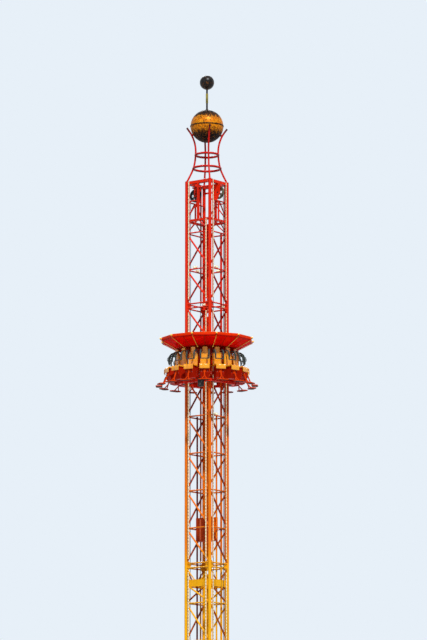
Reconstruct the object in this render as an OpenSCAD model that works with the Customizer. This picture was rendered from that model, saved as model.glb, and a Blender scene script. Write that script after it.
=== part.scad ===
// Drop tower ride: a square lattice tower with a ring of outward seats that travels on it.
// Z is up, the origin is the centre of the base frame's underside, +X and +Y are face normals.

/* [Tower] */
// Distance between the chord centres
chord_pitch = 1340; // [1240:1:1440]
// Chord tube diameter
chord_d = 150; // [120:1:170]
// Bay height of the lattice
bay_h = 1708; // [1650:1:1760]
// Bays below the lower splice
lower_bays = 9; // [8:1:9]
// Bays between the splices
middle_bays = 7; // [6:1:7]
// Bays above the upper splice
upper_bays = 2; // [2:1:3]
// Horizontal bar, across its flats
strut_d = 66; // [50:1:76]
// Diagonal bar, across its flats
brace_d = 80; // [60:1:90]

/* [Splices] */
// Thickness of the two flanges that meet at a splice
flange_t = 50; // [30:1:70]
// Length of the flange arms and gussets from the chord centre
gusset_l = 245; // [190:1:260]
// Height of a gusset beside the chord
gusset_h = 230; // [160:1:300]
// Gusset plate thickness
gusset_t = 24; // [12:1:40]
// Distance of a splice's horizontal bars from the flange plane
splice_bar_rise = 100; // [90:1:200]

/* [Base frame] */
// Height of the base beams
base_h = 200; // [160:1:260]
// Width of the base beams
base_w = 200; // [140:1:240]
// Side of a column base plate
foot_w = 460; // [420:1:520]
// Thickness of a column base plate
foot_t = 30; // [20:1:50]
// Distance between anchor holes
anchor_pitch = 340; // [300:1:380]
// Anchor hole diameter
anchor_d = 28; // [20:1:36]

/* [Head] */
// Height of the heavy beam above the last bay
heavy_rise = 578; // [480:1:640]
// Height of the heavy beam's section
heavy_d = 110; // [90:1:130]
// Height of the upper bar above the last bay
rail_rise = 1493; // [1440:1:1520]
// Underside of the top frame above the last bay
top_rise = 2303; // [2260:1:2340]
// Height of the top frame's beams
top_h = 140; // [120:1:180]
// How far the top frame stands out past the chord centres
top_out = 40; // [30:1:40]
// Width of the top frame's beams
top_w = 160; // [150:1:200]
// Middle post of the faces beside the sheaves, across its flats
post_d = 100; // [70:1:120]

/* [Sheaves and ropes] */
// Radius of the rope's centre line on the sheave
rope_turn_r = 290; // [260:1:300]
// Rope diameter
rope_d = 14; // [12:1:18]
// Distance between neighbouring ropes
rope_gap = 30; // [26:1:34]
// Sheave rim above the rope's centre line
rim_over = 20; // [12:1:24]
// Width of a sheave
sheave_w = 96; // [90:1:110]
// Height of a sheave axle above the last bay
axle_rise = 1893; // [1880:1:1905]
// Distance of a sheave axle inside the chord centre line
axle_in = 10; // [0:1:20]
// Axle diameter
axle_d = 60; // [40:1:80]
// Thickness of a cheek plate
cheek_t = 16; // [10:1:24]
// Cheek plate's reach from the axle towards the tower axis
cheek_in = 240; // [150:1:260]
// Cheek plate's reach from the axle outwards
cheek_out = 146; // [120:1:180]
// Width of the strap on a sheave's other side
strap_w = 90; // [80:1:120]

/* [Counterweight] */
// Length of the counterweight between its rails
weight_l = 980; // [900:1:1000]
// Thickness of the counterweight
weight_w = 350; // [300:1:420]
// Height of the counterweight
weight_h = 1070; // [900:1:1200]
// Underside of the counterweight at rest
weight_z = 16500; // [15500:10:17000]
// Rail diameter
rail_d = 80; // [60:1:90]
// Distance of a rail inside the chord centre line
rail_in = 120; // [118:1:130]
// Last bay that the rails reach
rail_level = 13; // [13:1:14]

/* [Crown] */
// Crown tube diameter
crown_d = 85; // [60:1:90]
// Ring tube diameter
ring_d = 105; // [95:1:115]
// Radius of the large ball
ball_r = 767; // [720:1:770]
// Height of the large ball's centre above the top frame
ball_rise = 2668; // [2640:1:2700]
// Height of the ball's dark band
band_h = 45; // [20:1:80]
// Thickness of the ball's dark band
band_t = 16; // [8:1:30]
// Rod diameter
rod_d = 85; // [60:1:110]
// Rod length between the two balls
rod_l = 972; // [800:1:1100]
// Radius of the small ball
finial_r = 338; // [260:1:380]

/* [Gondola] */
// Height of the seat pans at rest
ride_z = 24410; // [24000:10:24600]
// Number of seats
seats = 16; // [16]
// Distance of the carriage's inner face from the tower axis
carriage_in = 940; // [930:1:945]
// Width of the carriage beams
carriage_w = 100; // [90:1:110]
// Height of the carriage beams
carriage_h = 120; // [100:1:140]
// Guide roller diameter
roller_d = 180; // [160:1:184]
// Guide roller width
roller_w = 90; // [70:1:92]
// Guide roller axle diameter
roller_axle_d = 40; // [30:1:50]
// Inner radius of the seat rings
ring_in = 1300; // [1285:1:1305]
// Outer radius of the seat rings
ring_out = 1370; // [1360:1:1375]
// Height of the seat rings
ring_h = 120; // [100:1:130]

/* [Seats] */
// Rear face of a seat back from the tower axis
back_r = 1400; // [1400:1:1405]
// Thickness of a seat back
back_t = 60; // [40:1:70]
// Width of a seat
seat_w = 460; // [400:1:480]
// Front of a seat from the tower axis
seat_front = 1960; // [1930:1:1990]
// Depth of the skirt below the seat's front edge
skirt_h = 230; // [180:1:250]
// Width of the housing under a seat
box_w = 380; // [320:1:400]
// Depth of the housing under a seat
box_h = 550; // [500:1:580]
// Foot plate width
foot_plate_w = 550; // [480:1:600]
// Foot plate depth
foot_plate_l = 300; // [240:1:320]
// Foot plate below the seat pan
foot_drop = 760; // [720:1:800]

/* [Restraints] */
// Height of the restraint pivot above the seat pan
pivot_rise = 600; // [590:1:605]
// Radius of the restraint pivot from the tower axis
pivot_r = 1375; // [1372:1:1378]
// Restraint shaft diameter
shaft_d = 30; // [24:1:32]
// Distance between the restraint's two arms
arm_pitch = 380; // [360:1:390]

/* [Canopy] */
// Corner radius of the canopy rim
rim_r = 2120; // [2080:1:2160]
// Corner radius of the canopy's lower edge
throat_r = 1400; // [1390:1:1420]
// Height of the lower edge above the seat pans
throat_rise = 910; // [905:1:940]
// Height of the rim's lower edge above the seat pans
rim_rise = 1280; // [1260:1:1320]
// Height of the rim
rim_h = 140; // [100:1:180]
// Thickness of the rim
rim_t = 30; // [20:1:40]
// Thickness of the canopy panels
panel_t = 12; // [6:1:16]
// Diameter of the lamp tubes under the hips
tube_d = 24; // [16:1:26]
// Outer bulb diameter
bulb_d = 90; // [60:1:100]

/* [Hidden] */

// Gap between pieces that bear on each other along a curve
fit = 0.3;
// Radial clearance of a shaft in its bore
run = 0.1;
// Running clearance of a rail or roller
slide_gap = 0.4;

tower_red = [0.86, 0.13, 0.05];
tower_orange = [0.96, 0.45, 0.06];
tower_yellow = [0.95, 0.68, 0.10];
dark_red = [0.50, 0.03, 0.03];
seat_yellow = [0.88, 0.58, 0.10];
steel_grey = [0.30, 0.31, 0.33];
dark_green = [0.09, 0.16, 0.14];
strip_cream = [0.88, 0.84, 0.72];

half = chord_pitch / 2;
chord_r = chord_d / 2;
lower_splice = lower_bays;
upper_splice = lower_bays + middle_bays;
last_level = upper_splice + upper_bays;
head_z = last_level * bay_h;
top_z = head_z + top_rise;
crown_z = top_z + top_h;
ball_z = crown_z + ball_rise;
axle_x = half - axle_in;
axle_z = head_z + axle_rise;
rail_x = half - rail_in;
// Bars that meet a horizontal bar in its own plane are a little slimmer than it
slim_d = strut_d - 10;
beam_t = brace_d - 8;
side_bar_d = strut_d - 6;
side_post_d = post_d - 20;
cross_drop = 200;
strip_w = 80;
strip_t = 35;
strip_u = 170;
strip_gap = 300;
// Places of a sheave's ropes, as parts of the distance between them
lanes = [-0.5, 0.5];

function level(k) = k * bay_h;

// A straight bar of eight sides from point a to point b, d across its flats
module bar(a, b, d) {
    v = b - a;
    translate(a)
        rotate([0, acos(v[2] / norm(v)), atan2(v[1], v[0])])
            rotate(22.5)
                cylinder(d = d / cos(22.5), h = norm(v), $fn = 8);
}

// The middle of three points' direction, in the XZ plane
function heading(path, i) =
    let (a = path[max(i - 1, 0)], b = path[min(i + 1, len(path) - 1)])
    [b[0] - a[0], b[1] - a[1]] / norm([b[0] - a[0], b[1] - a[1]]);

// A bent tube in the XZ plane, its path a list of [x, z, radius]
module bent_tube(path, sides = 10) {
    n = len(path);
    points = [for (i = [0 : n - 1], k = [0 : sides - 1])
        let (h = heading(path, i), c = path[i][2] * cos(360 * k / sides))
        [path[i][0] - h[1] * c, path[i][2] * sin(360 * k / sides), path[i][1] + h[0] * c]];
    sides_faces = [for (i = [0 : n - 2], k = [0 : sides - 1])
        let (a = i * sides + k, b = i * sides + (k + 1) % sides)
        each [[a, b, b + sides], [a, b + sides, a + sides]]];
    first = [for (k = [sides - 1 : -1 : 0]) k];
    last = [for (k = [0 : sides - 1]) (n - 1) * sides + k];
    polyhedron(points = points, faces = concat(sides_faces, [first, last]));
}

// Copies turned onto the faces or corners in the list, 0 being the -Y face
module on_faces(faces) {
    for (i = faces)
        rotate(90 * i)
            children();
}

module chord_run(z0, z1) {
    on_faces([0 : 3])
        translate([half, half, z0])
            cylinder(r = chord_r, h = z1 - z0, $fn = 48);
}

module lower_chords() {
    color(tower_yellow)
        chord_run(foot_t, level(lower_splice) - flange_t / 2);
}

module middle_chords() {
    color(tower_orange)
        chord_run(level(lower_splice) + flange_t / 2, level(upper_splice) - flange_t / 2);
}

module upper_chords() {
    color(tower_red)
        chord_run(level(upper_splice) + flange_t / 2, crown_z);
}

// Everything in a face ends at the chords
module between_chords(z0, z1) {
    difference() {
        children();
        for (side = [-1, 1])
            translate([side * half, -half, z0])
                cylinder(r = chord_r + fit, h = z1 - z0, $fn = 48);
    }
}

module strut(z, d = strut_d) {
    bar([-half, -half, z], [half, -half, z], d);
}

module brace(z_left, z_right, d = brace_d) {
    bar([-half, -half, z_left], [half, -half, z_right], d);
}

// Gusset plates beside both chords, from a flange at z, upwards or downwards
module gussets(z, up) {
    for (side = [-1, 1])
        translate([side * half, -half + gusset_t / 2, z])
            rotate([90, 0, 0])
                linear_extrude(gusset_t)
                    polygon([[0, 0], [-side * gusset_l, 0], [-side * gusset_l, up * gusset_h * 0.35],
                        [-side * chord_r, up * gusset_h], [0, up * gusset_h]]);
}

// Bars of the bays from level a to level b, with z0 and z1 the ends' working points
module bays(a, b, z0, z1) {
    for (k = [a + 1 : 1 : b - 1])
        strut(level(k));
    for (k = [a : b - 1])
        brace(k + 1 == b ? z1 : level(k + 1), k == a ? z0 : level(k));
}

module lower_face() {
    top = level(lower_splice);
    beam_z = top - 810;
    between_chords(0, top) {
        bays(0, lower_bays, base_h + strut_d, top - bay_h / 2);
        strut(top - splice_bar_rise);
        gussets(top - flange_t / 2, -1);
        for (side = [-1, 1])
            bar([side * half, -half, top - splice_bar_rise], [side * 60, -half, beam_z], slim_d);
        translate([-half, -half - beam_t / 2, beam_z - 160])
            cube([chord_pitch, beam_t, 320]);
    }
}

module middle_face() {
    z0 = level(lower_splice);
    z1 = level(upper_splice);
    between_chords(z0, z1) {
        bays(lower_splice, upper_splice, z0 + splice_bar_rise, z1 - splice_bar_rise);
        strut(z0 + splice_bar_rise);
        strut(z1 - splice_bar_rise);
        gussets(z0 + flange_t / 2, 1);
        gussets(z1 - flange_t / 2, -1);
    }
}

// The bays above the upper splice, the heavy beam and the inverted V under it
module upper_face() {
    z0 = level(upper_splice);
    bays(upper_splice, last_level, z0 + splice_bar_rise, head_z);
    strut(z0 + splice_bar_rise);
    strut(head_z);
    gussets(z0 + flange_t / 2, 1);
    translate([-half, -half - beam_t / 2, head_z + heavy_rise - heavy_d / 2])
        cube([chord_pitch, beam_t, heavy_d]);
    for (side = [-1, 1])
        bar([side * 50, -half, head_z + heavy_rise - 20], [side * half, -half, head_z], slim_d);
}

module lower_lattice_y() {
    color(tower_yellow)
        on_faces([0, 2])
            lower_face();
}

module lower_lattice_x() {
    color(tower_yellow)
        on_faces([1, 3])
            lower_face();
}

module middle_lattice_y() {
    color(tower_orange)
        on_faces([0, 2])
            middle_face();
}

module middle_lattice_x() {
    color(tower_orange)
        on_faces([1, 3])
            middle_face();
}

// The faces with the posts of the head's access frame
module upper_lattice_y() {
    z0 = level(upper_splice);
    heavy_z = head_z + heavy_rise;
    color(tower_red)
        on_faces([0, 2])
            between_chords(z0, top_z + 1) {
                upper_face();
                translate([-post_d / 2, -half - post_d / 2, heavy_z])
                    cube([post_d, post_d, top_z - heavy_z]);
                bar([-half, -half, head_z + rail_rise], [0, -half, head_z + rail_rise], strut_d);
                bar([-half, -half, heavy_z + 80], [0, -half, head_z + rail_rise], slim_d);
                bar([0, -half, top_z - cross_drop], [half, -half, top_z - cross_drop], post_d - 12);
            }
}

// The faces that the sheaves stand in
module upper_lattice_x() {
    z0 = level(upper_splice);
    heavy_z = head_z + heavy_rise;
    color(tower_red)
        on_faces([1, 3])
            between_chords(z0, top_z + 1) {
                upper_face();
                strut(head_z + rail_rise);
                bar([0, -half, heavy_z], [0, -half, head_z + rail_rise], side_post_d);
                for (side = [-1, 1])
                    bar([side * 60, -half, head_z + rail_rise - 10], [side * half, -half, heavy_z + 60],
                        side_bar_d);
            }
}

// One pair of flanges at a corner, with an arm along each face
module splice_plate() {
    translate([-half, -half, -flange_t / 2])
        linear_extrude(flange_t)
            union() {
                circle(r = chord_r, $fn = 48);
                square([gusset_l, chord_r * 0.8]);
                square([chord_r * 0.8, gusset_l]);
                polygon([[0, 0], [gusset_l * 0.8, 0], [0, gusset_l * 0.8]]);
            }
}

module splice_flanges() {
    color(tower_orange)
        for (k = [lower_splice, upper_splice])
            translate([0, 0, level(k)])
                on_faces([0 : 3])
                    splice_plate();
}

// Lamp strips along the chords, seated on the diagonals
module strip_run(z0, z1, faces = [0 : 3], sides = [-1, 1]) {
    on_faces(faces)
        for (side = sides)
            translate([side * (half - strip_u) - strip_w / 2,
                    -half - brace_d / 2 - fit - strip_t, z0])
                cube([strip_w, strip_t, z1 - z0]);
}

module light_strips() {
    color(strip_cream) {
        strip_run(bay_h, level(lower_splice) - strip_gap);
        strip_run(level(lower_splice) + strip_gap, level(upper_splice) - strip_gap);
        strip_run(level(upper_splice) + strip_gap, crown_z, [1, 3]);
        strip_run(level(upper_splice) + strip_gap, crown_z, [0, 2], [-1]);
        strip_run(level(upper_splice) + strip_gap, head_z + heavy_rise, [0, 2], [1]);
    }
}

module base_frame() {
    reach = axle_x + rope_turn_r + 130;
    color(tower_yellow)
        difference() {
            union() {
                on_faces([0 : 3]) {
                    translate([half - foot_w / 2, half - foot_w / 2, 0])
                        cube([foot_w, foot_w, foot_t]);
                    translate([-half + chord_r + fit, -half - chord_r, 0])
                        cube([chord_pitch - chord_d - 2 * fit, chord_d, base_h]);
                }
                translate([-reach, -base_w / 2, 0])
                    cube([2 * reach, base_w, base_h]);
                translate([-base_w / 2, -half, 0])
                    cube([base_w, chord_pitch, base_h]);
            }
            on_faces([0 : 3])
                for (x = [-1, 1], y = [-1, 1])
                    translate([half + x * anchor_pitch / 2, half + y * anchor_pitch / 2, -1])
                        cylinder(d = anchor_d, h = foot_t + 2, $fn = 32);
        }
}

// Cheek plate and strap beside a sheave, hung from the top frame, with the axle's bore
module cheeks() {
    z0 = head_z + rail_rise + strut_d / 2 + 20;
    y0 = sheave_w / 2 + 10;
    difference() {
        union() {
            translate([0, -y0, 0])
                rotate([90, 0, 0])
                    linear_extrude(cheek_t)
                        polygon([[axle_x - cheek_in, z0], [axle_x, z0],
                            [axle_x + cheek_out, axle_z - axle_d], [axle_x + cheek_out, top_z + 1],
                            [axle_x - cheek_in, top_z + 1]]);
            translate([axle_x - strap_w / 2, y0, axle_z - axle_d])
                cube([strap_w, cheek_t, top_z - axle_z + axle_d + 1]);
            for (x = [axle_x - cheek_in, axle_x + cheek_out - cheek_in / 4])
                translate([x, -y0 - cheek_t, top_z - 60])
                    cube([cheek_in / 4, 2 * (y0 + cheek_t), 61]);
        }
        translate([axle_x, y0 + cheek_t + 1, axle_z])
            rotate([90, 0, 0])
                cylinder(r = axle_d / 2 + run, h = 2 * (y0 + cheek_t + 1), $fn = 48);
    }
}

module head_frame() {
    outer = half + top_out;
    inner = outer - top_w;
    color(tower_red) {
        translate([0, 0, top_z])
            difference() {
                translate([-outer, -outer, 0])
                    cube([2 * outer, 2 * outer, top_h]);
                translate([-inner, -inner, -1])
                    cube([2 * inner, 2 * inner, top_h + 2]);
                on_faces([0 : 3])
                    translate([half, half, -1])
                        cylinder(r = chord_r + fit, h = top_h + 2, $fn = 48);
            }
        for (i = [0, 1])
            rotate(180 * i)
                cheeks();
    }
}

// Grooved wheel with five round holes in its web and its axle
module sheave() {
    wheel_r = rope_turn_r + rim_over;
    hub_r = axle_d / 2 + 35;
    translate([axle_x, 0, axle_z])
        rotate([90, 0, 0])
            union() {
                difference() {
                    rotate_extrude($fn = 96)
                        difference() {
                            union() {
                                translate([0, -12])
                                    square([wheel_r - 30, 24]);
                                translate([rope_turn_r - 35, -sheave_w / 2])
                                    square([wheel_r - rope_turn_r + 35, sheave_w]);
                                translate([0, -sheave_w / 2])
                                    square([hub_r, sheave_w]);
                            }
                            for (k = lanes)
                                translate([rope_turn_r, k * rope_gap]) {
                                    circle(r = rope_d / 2 + fit, $fn = 32);
                                    translate([0, -rope_d / 2 - fit])
                                        square([rim_over + 1, rope_d + 2 * fit]);
                                }
                        }
                    for (k = [0 : 4])
                        rotate(72 * k)
                            translate([(hub_r + rope_turn_r - 35) / 2, 0, -13])
                                cylinder(r = 58, h = 26, $fn = 32);
                }
                translate([0, 0, -sheave_w / 2 - 10 - cheek_t])
                    cylinder(d = axle_d, h = sheave_w + 20 + 2 * cheek_t, $fn = 48);
            }
}

module sheave_right() {
    color(steel_grey)
        sheave();
}

module sheave_left() {
    color(steel_grey)
        rotate(180)
            sheave();
}

// Two ropes over each sheave, down outside and inside the face
module ropes() {
    color(steel_grey)
        for (i = [0, 1], k = lanes)
            rotate(180 * i)
                translate([axle_x, k * rope_gap, 0]) {
                    for (side = [-1, 1])
                        translate([side * rope_turn_r, 0, base_h])
                            cylinder(d = rope_d, h = axle_z - base_h, $fn = 24);
                    translate([0, 0, axle_z])
                        rotate([90, 0, 0])
                            rotate_extrude(angle = 180, $fn = 96)
                                translate([rope_turn_r, 0])
                                    circle(d = rope_d, $fn = 24);
                }
}

// Round rails with a bracket to the face's bar at every level
module counterweight_rails() {
    color(dark_red)
        for (i = [0, 1])
            rotate(180 * i) {
                translate([rail_x, 0, base_h])
                    cylinder(d = rail_d, h = level(rail_level) + 60 - base_h, $fn = 32);
                for (k = [1 : rail_level])
                    if (k != lower_splice)
                        translate([rail_x + rail_d / 2 - 8, -30, level(k) - 25])
                            cube([rail_in - rail_d / 2 - strut_d / 2 + 8, 60, 50]);
            }
}

module counterweight() {
    slot_x = axle_x - rope_turn_r;
    color(tower_orange)
        translate([0, 0, weight_z])
            difference() {
                union() {
                    translate([-weight_l / 2, -weight_w / 2, 0])
                        cube([weight_l, weight_w, weight_h]);
                    for (side = [-1, 1], z = [0, weight_h - 160])
                        translate([side * (rail_x + 6) - (side > 0 ? rail_d : 0), -70, z])
                            cube([rail_d, 140, 160]);
                    for (x = [-240, 240])
                        translate([x - 32, -weight_w / 2 - 12, 40])
                            cube([64, weight_w + 24, weight_h - 80]);
                }
                for (side = [-1, 1]) {
                    translate([side * rail_x, 0, -1])
                        cylinder(r = rail_d / 2 + slide_gap, h = weight_h + 2, $fn = 32);
                    translate([side * slot_x - 24, -rope_gap - 24, -1])
                        cube([48, 2 * rope_gap + 48, weight_h + 2]);
                }
            }
}

// Lamp housing of width w that stands on a horizontal bar, facing outwards
module floodlight(u, z, w = 200) {
    translate([u, -half, z + strut_d / 2]) {
        translate([-14, -20, 0])
            cube([28, 40, 12]);
        translate([-w / 2, 0, 6])
            rotate([90, 0, 90])
                linear_extrude(w)
                    polygon([[-30, 0], [40, 10], [40, 75], [-20, 90], [-45, 80]]);
    }
}

module floodlights() {
    low_bar = level(lower_splice) - splice_bar_rise;
    color(strip_cream) {
        on_faces([0 : 3]) {
            floodlight(-165, level(last_level - 1));
            floodlight(360, level(upper_splice) - splice_bar_rise, 120);
        }
        on_faces([1]) {
            floodlight(-200, level(upper_splice - 3));
            floodlight(300, low_bar, 120);
        }
    }
}

module cable_duct() {
    color(dark_red)
        translate([330, half - brace_d / 2 - fit - 60, base_h])
            cube([80, 60, head_z + 120 - base_h]);
}

// Crown leg profile above the top frame: [radius, height]
crown_path = [[920, 20], [630, 660], [530, 1300], [560, 1780], [710, 2210], [930, 2540]];

module crown_leg() {
    pad_p = crown_path[4];
    pad_v = [pad_p[0], pad_p[1] - ball_rise];
    bent_tube([for (p = crown_path) [p[0], p[1], crown_d / 2]]);
    translate([0, 0, ball_rise])
        rotate([0, 90 - atan2(pad_v[1], pad_v[0]), 0])
            translate([0, 0, ball_r + fit])
                cylinder(d = crown_d + 10, h = norm(pad_v) - ball_r - fit, $fn = 32);
    translate([crown_path[0][0] - 80, -80, 0])
        cube([160, 160, 14]);
}

module crown() {
    color(tower_red)
        translate([0, 0, crown_z]) {
            for (k = [0 : 3])
                rotate(45 + 90 * k)
                    crown_leg();
            for (i = [1, 2])
                translate([0, 0, crown_path[i][1]])
                    rotate_extrude($fn = 96)
                        translate([crown_path[i][0], 0])
                            circle(d = ring_d, $fn = 32);
        }
}

module gold_ball() {
    color([0.85, 0.55, 0.12])
        translate([0, 0, ball_z]) {
            sphere(r = ball_r, $fn = 96);
            translate([0, 0, ball_r - 40])
                cylinder(d = rod_d + 80, h = 52, $fn = 48);
        }
}

module ball_band() {
    color([0.16, 0.10, 0.06])
        translate([0, 0, ball_z - band_h / 2])
            difference() {
                cylinder(r = ball_r + fit + band_t, h = band_h, $fn = 96);
                translate([0, 0, -1])
                    cylinder(r = ball_r + fit, h = band_h + 2, $fn = 96);
            }
}

rod_z = ball_z + ball_r + 12;

module finial_rod() {
    color([0.70, 0.55, 0.25])
        translate([0, 0, rod_z]) {
            cylinder(d = rod_d, h = rod_l, $fn = 48);
            cylinder(d = rod_d + 60, h = 14, $fn = 48);
            translate([0, 0, rod_l * 0.34])
                cylinder(d = rod_d + 24, h = rod_l * 0.46, $fn = 48);
        }
}

module finial_ball() {
    color([0.22, 0.13, 0.06])
        translate([0, 0, rod_z + rod_l]) {
            translate([0, 0, finial_r])
                sphere(r = finial_r, $fn = 72);
            cylinder(d = rod_d + 20, h = 30, $fn = 48);
        }
}

carriage_out = carriage_in + carriage_w;
carriage_cut = carriage_in + 230;
carriage_bottom = -700;
mid_ring = -400;
top_ring = pivot_rise - 40 - ring_h;
roller_x = half + chord_r + slide_gap + roller_d / 2;
roller_levels = [carriage_bottom + carriage_h / 2, top_ring + carriage_h - roller_d / 2 - 5];

// Places copies in the gondola's frame, at the seats
module at_seats() {
    for (i = [0 : seats - 1])
        rotate(360 / seats * (i + 0.5))
            translate([0, 0, ride_z])
                children();
}

// Octagon with face distance a and corner distance b
function octagon(a, b) =
    let (c = b * sqrt(2) - a)
    [[a, -c], [a, c], [c, a], [-c, a], [-a, c], [-a, -c], [-c, -a], [c, -a]];

module carriage_ring(z) {
    translate([0, 0, z])
        linear_extrude(carriage_h)
            difference() {
                polygon(octagon(carriage_out, carriage_cut + carriage_w));
                polygon(octagon(carriage_in, carriage_cut));
                for (side = [-1, 1])
                    translate([side * (axle_x + rope_turn_r) - 20, -rope_gap - 20])
                        square([40, 2 * rope_gap + 40]);
            }
}

// Ear plates that hold a roller beside each chord
module roller_ears(z) {
    on_faces([0 : 3])
        for (side = [-1, 1], ear = [-1, 1])
            translate([side * half + ear * (roller_w / 2 + 12) - 6, -carriage_in - 10, z - 60])
                difference() {
                    cube([12, carriage_in + 10 - roller_x + 45, 120]);
                    translate([-1, carriage_in + 10 - roller_x, 60])
                        rotate([0, 90, 0])
                            cylinder(r = roller_axle_d / 2 + run, h = 14, $fn = 32);
                }
}

module carriage_frame() {
    post = carriage_w - 20;
    color(tower_red)
        translate([0, 0, ride_z]) {
            for (z = [carriage_bottom, mid_ring, top_ring])
                carriage_ring(z);
            on_faces([0 : 3])
                for (side = [-1, 1])
                    translate([side * 610 - post / 2, -carriage_out + 10, carriage_bottom])
                        cube([post, post, top_ring + carriage_h - carriage_bottom]);
            for (z = roller_levels)
                roller_ears(z);
        }
}

module guide_rollers() {
    color(steel_grey)
        for (z = roller_levels)
            translate([0, 0, ride_z + z])
                on_faces([0 : 3])
                    for (side = [-1, 1])
                        translate([side * half, -roller_x, 0])
                            rotate([0, 90, 0]) {
                                cylinder(d = roller_d, h = roller_w, center = true, $fn = 48);
                                cylinder(d = roller_axle_d, h = roller_w + 36, center = true,
                                    $fn = 32);
                            }
}

module ring_band(z) {
    translate([0, 0, z])
        difference() {
            cylinder(r = ring_out, h = ring_h, $fn = 96);
            translate([0, 0, -1])
                cylinder(r = ring_in, h = ring_h + 2, $fn = 96);
        }
}

// Two rings on short beams, with a post and two pivot lugs behind every seat
module seat_ring() {
    lug_y = arm_pitch / 2 + 42;
    color(dark_red) {
        translate([0, 0, ride_z])
            for (z = [mid_ring, top_ring]) {
                ring_band(z);
                on_faces([0 : 3])
                    for (y = [-610, -200, 200, 610])
                        translate([carriage_out, y - 30, z + 20])
                            cube([sqrt(ring_in * ring_in - y * y) + 25 - carriage_out, 60,
                                ring_h - 40]);
            }
        at_seats() {
            translate([ring_out - 15, -40, mid_ring])
                cube([back_r - fit - ring_out + 15, 80, top_ring + ring_h - mid_ring]);
            for (side = [-1, 1])
                translate([ring_out - 50, side * lug_y - 7, top_ring + ring_h - 20])
                    difference() {
                        cube([80, 14, 90]);
                        translate([pivot_r - ring_out + 50, -1, pivot_rise - top_ring - ring_h + 20])
                            rotate([-90, 0, 0])
                                cylinder(r = shaft_d / 2 + run, h = 16, $fn = 32);
                    }
        }
    }
}

// An upright extrusion across the seat of a profile of [radius, height] points
module across(w) {
    rotate([90, 0, 0])
        linear_extrude(w, center = true)
            children();
}

function arc(cx, cy, r, a0, a1, n = 6) =
    [for (i = [0 : n]) [cx + r * cos(a0 + (a1 - a0) * i / n), cy + r * sin(a0 + (a1 - a0) * i / n)]];

module seat_pans() {
    rear = back_r + fit;
    color(seat_yellow)
        at_seats()
            across(seat_w)
                polygon(concat([[rear, -60], [rear, 0], [rear + 90, -2], [rear + 200, -20],
                    [rear + 330, -20]], arc(seat_front - 80, -80, 80, 100, 0),
                    [[seat_front, -skirt_h], [seat_front - 30, -skirt_h]],
                    arc(seat_front - 80, -80, 48, 0, 90), [[seat_front - 150, -60]]));
}

// Seat back with rounded shoulders and a narrow head rest
module seat_backs() {
    w = seat_w / 2 - 10;
    shoulder = pivot_rise - 20;
    color(seat_yellow)
        at_seats()
            translate([back_r, 0, 0])
                rotate([90, 0, 90])
                    linear_extrude(back_t)
                        polygon(concat([[-w, fit], [w, fit]],
                            arc(w - 90, shoulder - 90, 90, 0, 80),
                            arc(70, pivot_rise + 210, 40, 0, 90, 4),
                            arc(-70, pivot_rise + 210, 40, 90, 180, 4),
                            arc(-w + 90, shoulder - 90, 90, 100, 180)));
}

module seat_boxes() {
    color(dark_red)
        at_seats()
            across(box_w)
                polygon([[back_r + fit, -60 - fit], [seat_front - 110, -60 - fit],
                    [seat_front - 110, -box_h + 130], [seat_front - 180, -box_h - 60],
                    [back_r + 80, -box_h - 60], [back_r + fit, -box_h + 130]]);
}

module rounded_plate(l, w, r, t) {
    linear_extrude(t)
        union() {
            translate([r, -w / 2])
                square([l - 2 * r, w]);
            translate([0, -w / 2 + r])
                square([l, w - 2 * r]);
            for (x = [r, l - r], y = [-w / 2 + r, w / 2 - r])
                translate([x, y])
                    circle(r = r, $fn = 32);
        }
}

// Foot plate with a raised rim, on a stem that splits into two legs
module foot_rests() {
    root_r = seat_front - 110 + fit;
    plate_r = seat_front + 90;
    knee = [root_r + 130, 0, -560];
    color(tower_red)
        at_seats() {
            translate([root_r, -60, -400])
                cube([24, 120, 170]);
            bar([root_r + 34, 0, -320], knee, 64);
            for (side = [-1, 1])
                bar(knee, [plate_r + 70, side * 130, -foot_drop - 8], 46);
            translate([plate_r, 0, -foot_drop - 25])
                difference() {
                    rounded_plate(foot_plate_l, foot_plate_w, 110, 40);
                    translate([14, 0, 25])
                        rounded_plate(foot_plate_l - 28, foot_plate_w - 28, 98, 20);
                }
        }
}

module control_box() {
    box_t = 150;
    color([0.07, 0.07, 0.08])
        translate([370, -carriage_out - box_t, ride_z + carriage_bottom - 250])
            cube([260, box_t, 400]);
}

// Restraint arm profile from its pivot: [radius, height, tube radius]
arm_path = [[0, 0, 20], [35, 45, 22], [110, 85, 26], [215, 90, 28], [295, 40, 35],
    [345, -60, 40], [365, -200, 40], [365, -330, 30], [362, -360, 24]];

module restraint(i) {
    color(dark_green)
        rotate(360 / seats * (i - 0.5))
            translate([pivot_r, 0, ride_z + pivot_rise]) {
                rotate([90, 0, 0])
                    cylinder(d = shaft_d, h = arm_pitch + 110, center = true, $fn = 32);
                for (side = [-1, 1])
                    translate([0, side * arm_pitch / 2, 0])
                        bent_tube(arm_path, 8);
                translate([365, 0, -335])
                    rotate([90, 0, 0])
                        cylinder(d = 46, h = arm_pitch, center = true, $fn = 32);
            }
}

canopy_turn = 18.75;
mid = cos(15);
panel_in = throat_r * mid;
panel_out = rim_r * mid - rim_t - fit;
panel_rise = rim_rise - throat_rise;
panel_angle = atan2(panel_rise, panel_out - panel_in);
panel_up = panel_t / cos(panel_angle);
hip_slope = panel_rise / (panel_out - panel_in) * mid;
hub_out = carriage_out + 20;
deck_z = rim_rise + rim_h - 20;

// Places copies at the twelve corners, or at the middles of the twelve sides
module around_canopy(step) {
    for (i = [0 : 11])
        rotate(canopy_turn + 30 * (i + step))
            translate([0, 0, ride_z])
                children();
}

module trapezoid(r0, r1, length, gap) {
    w0 = r0 * tan(15) - gap / 2;
    w1 = r1 * tan(15) - gap / 2;
    polygon([[0, -w0], [length, -w1], [length, w1], [0, w0]]);
}

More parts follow.
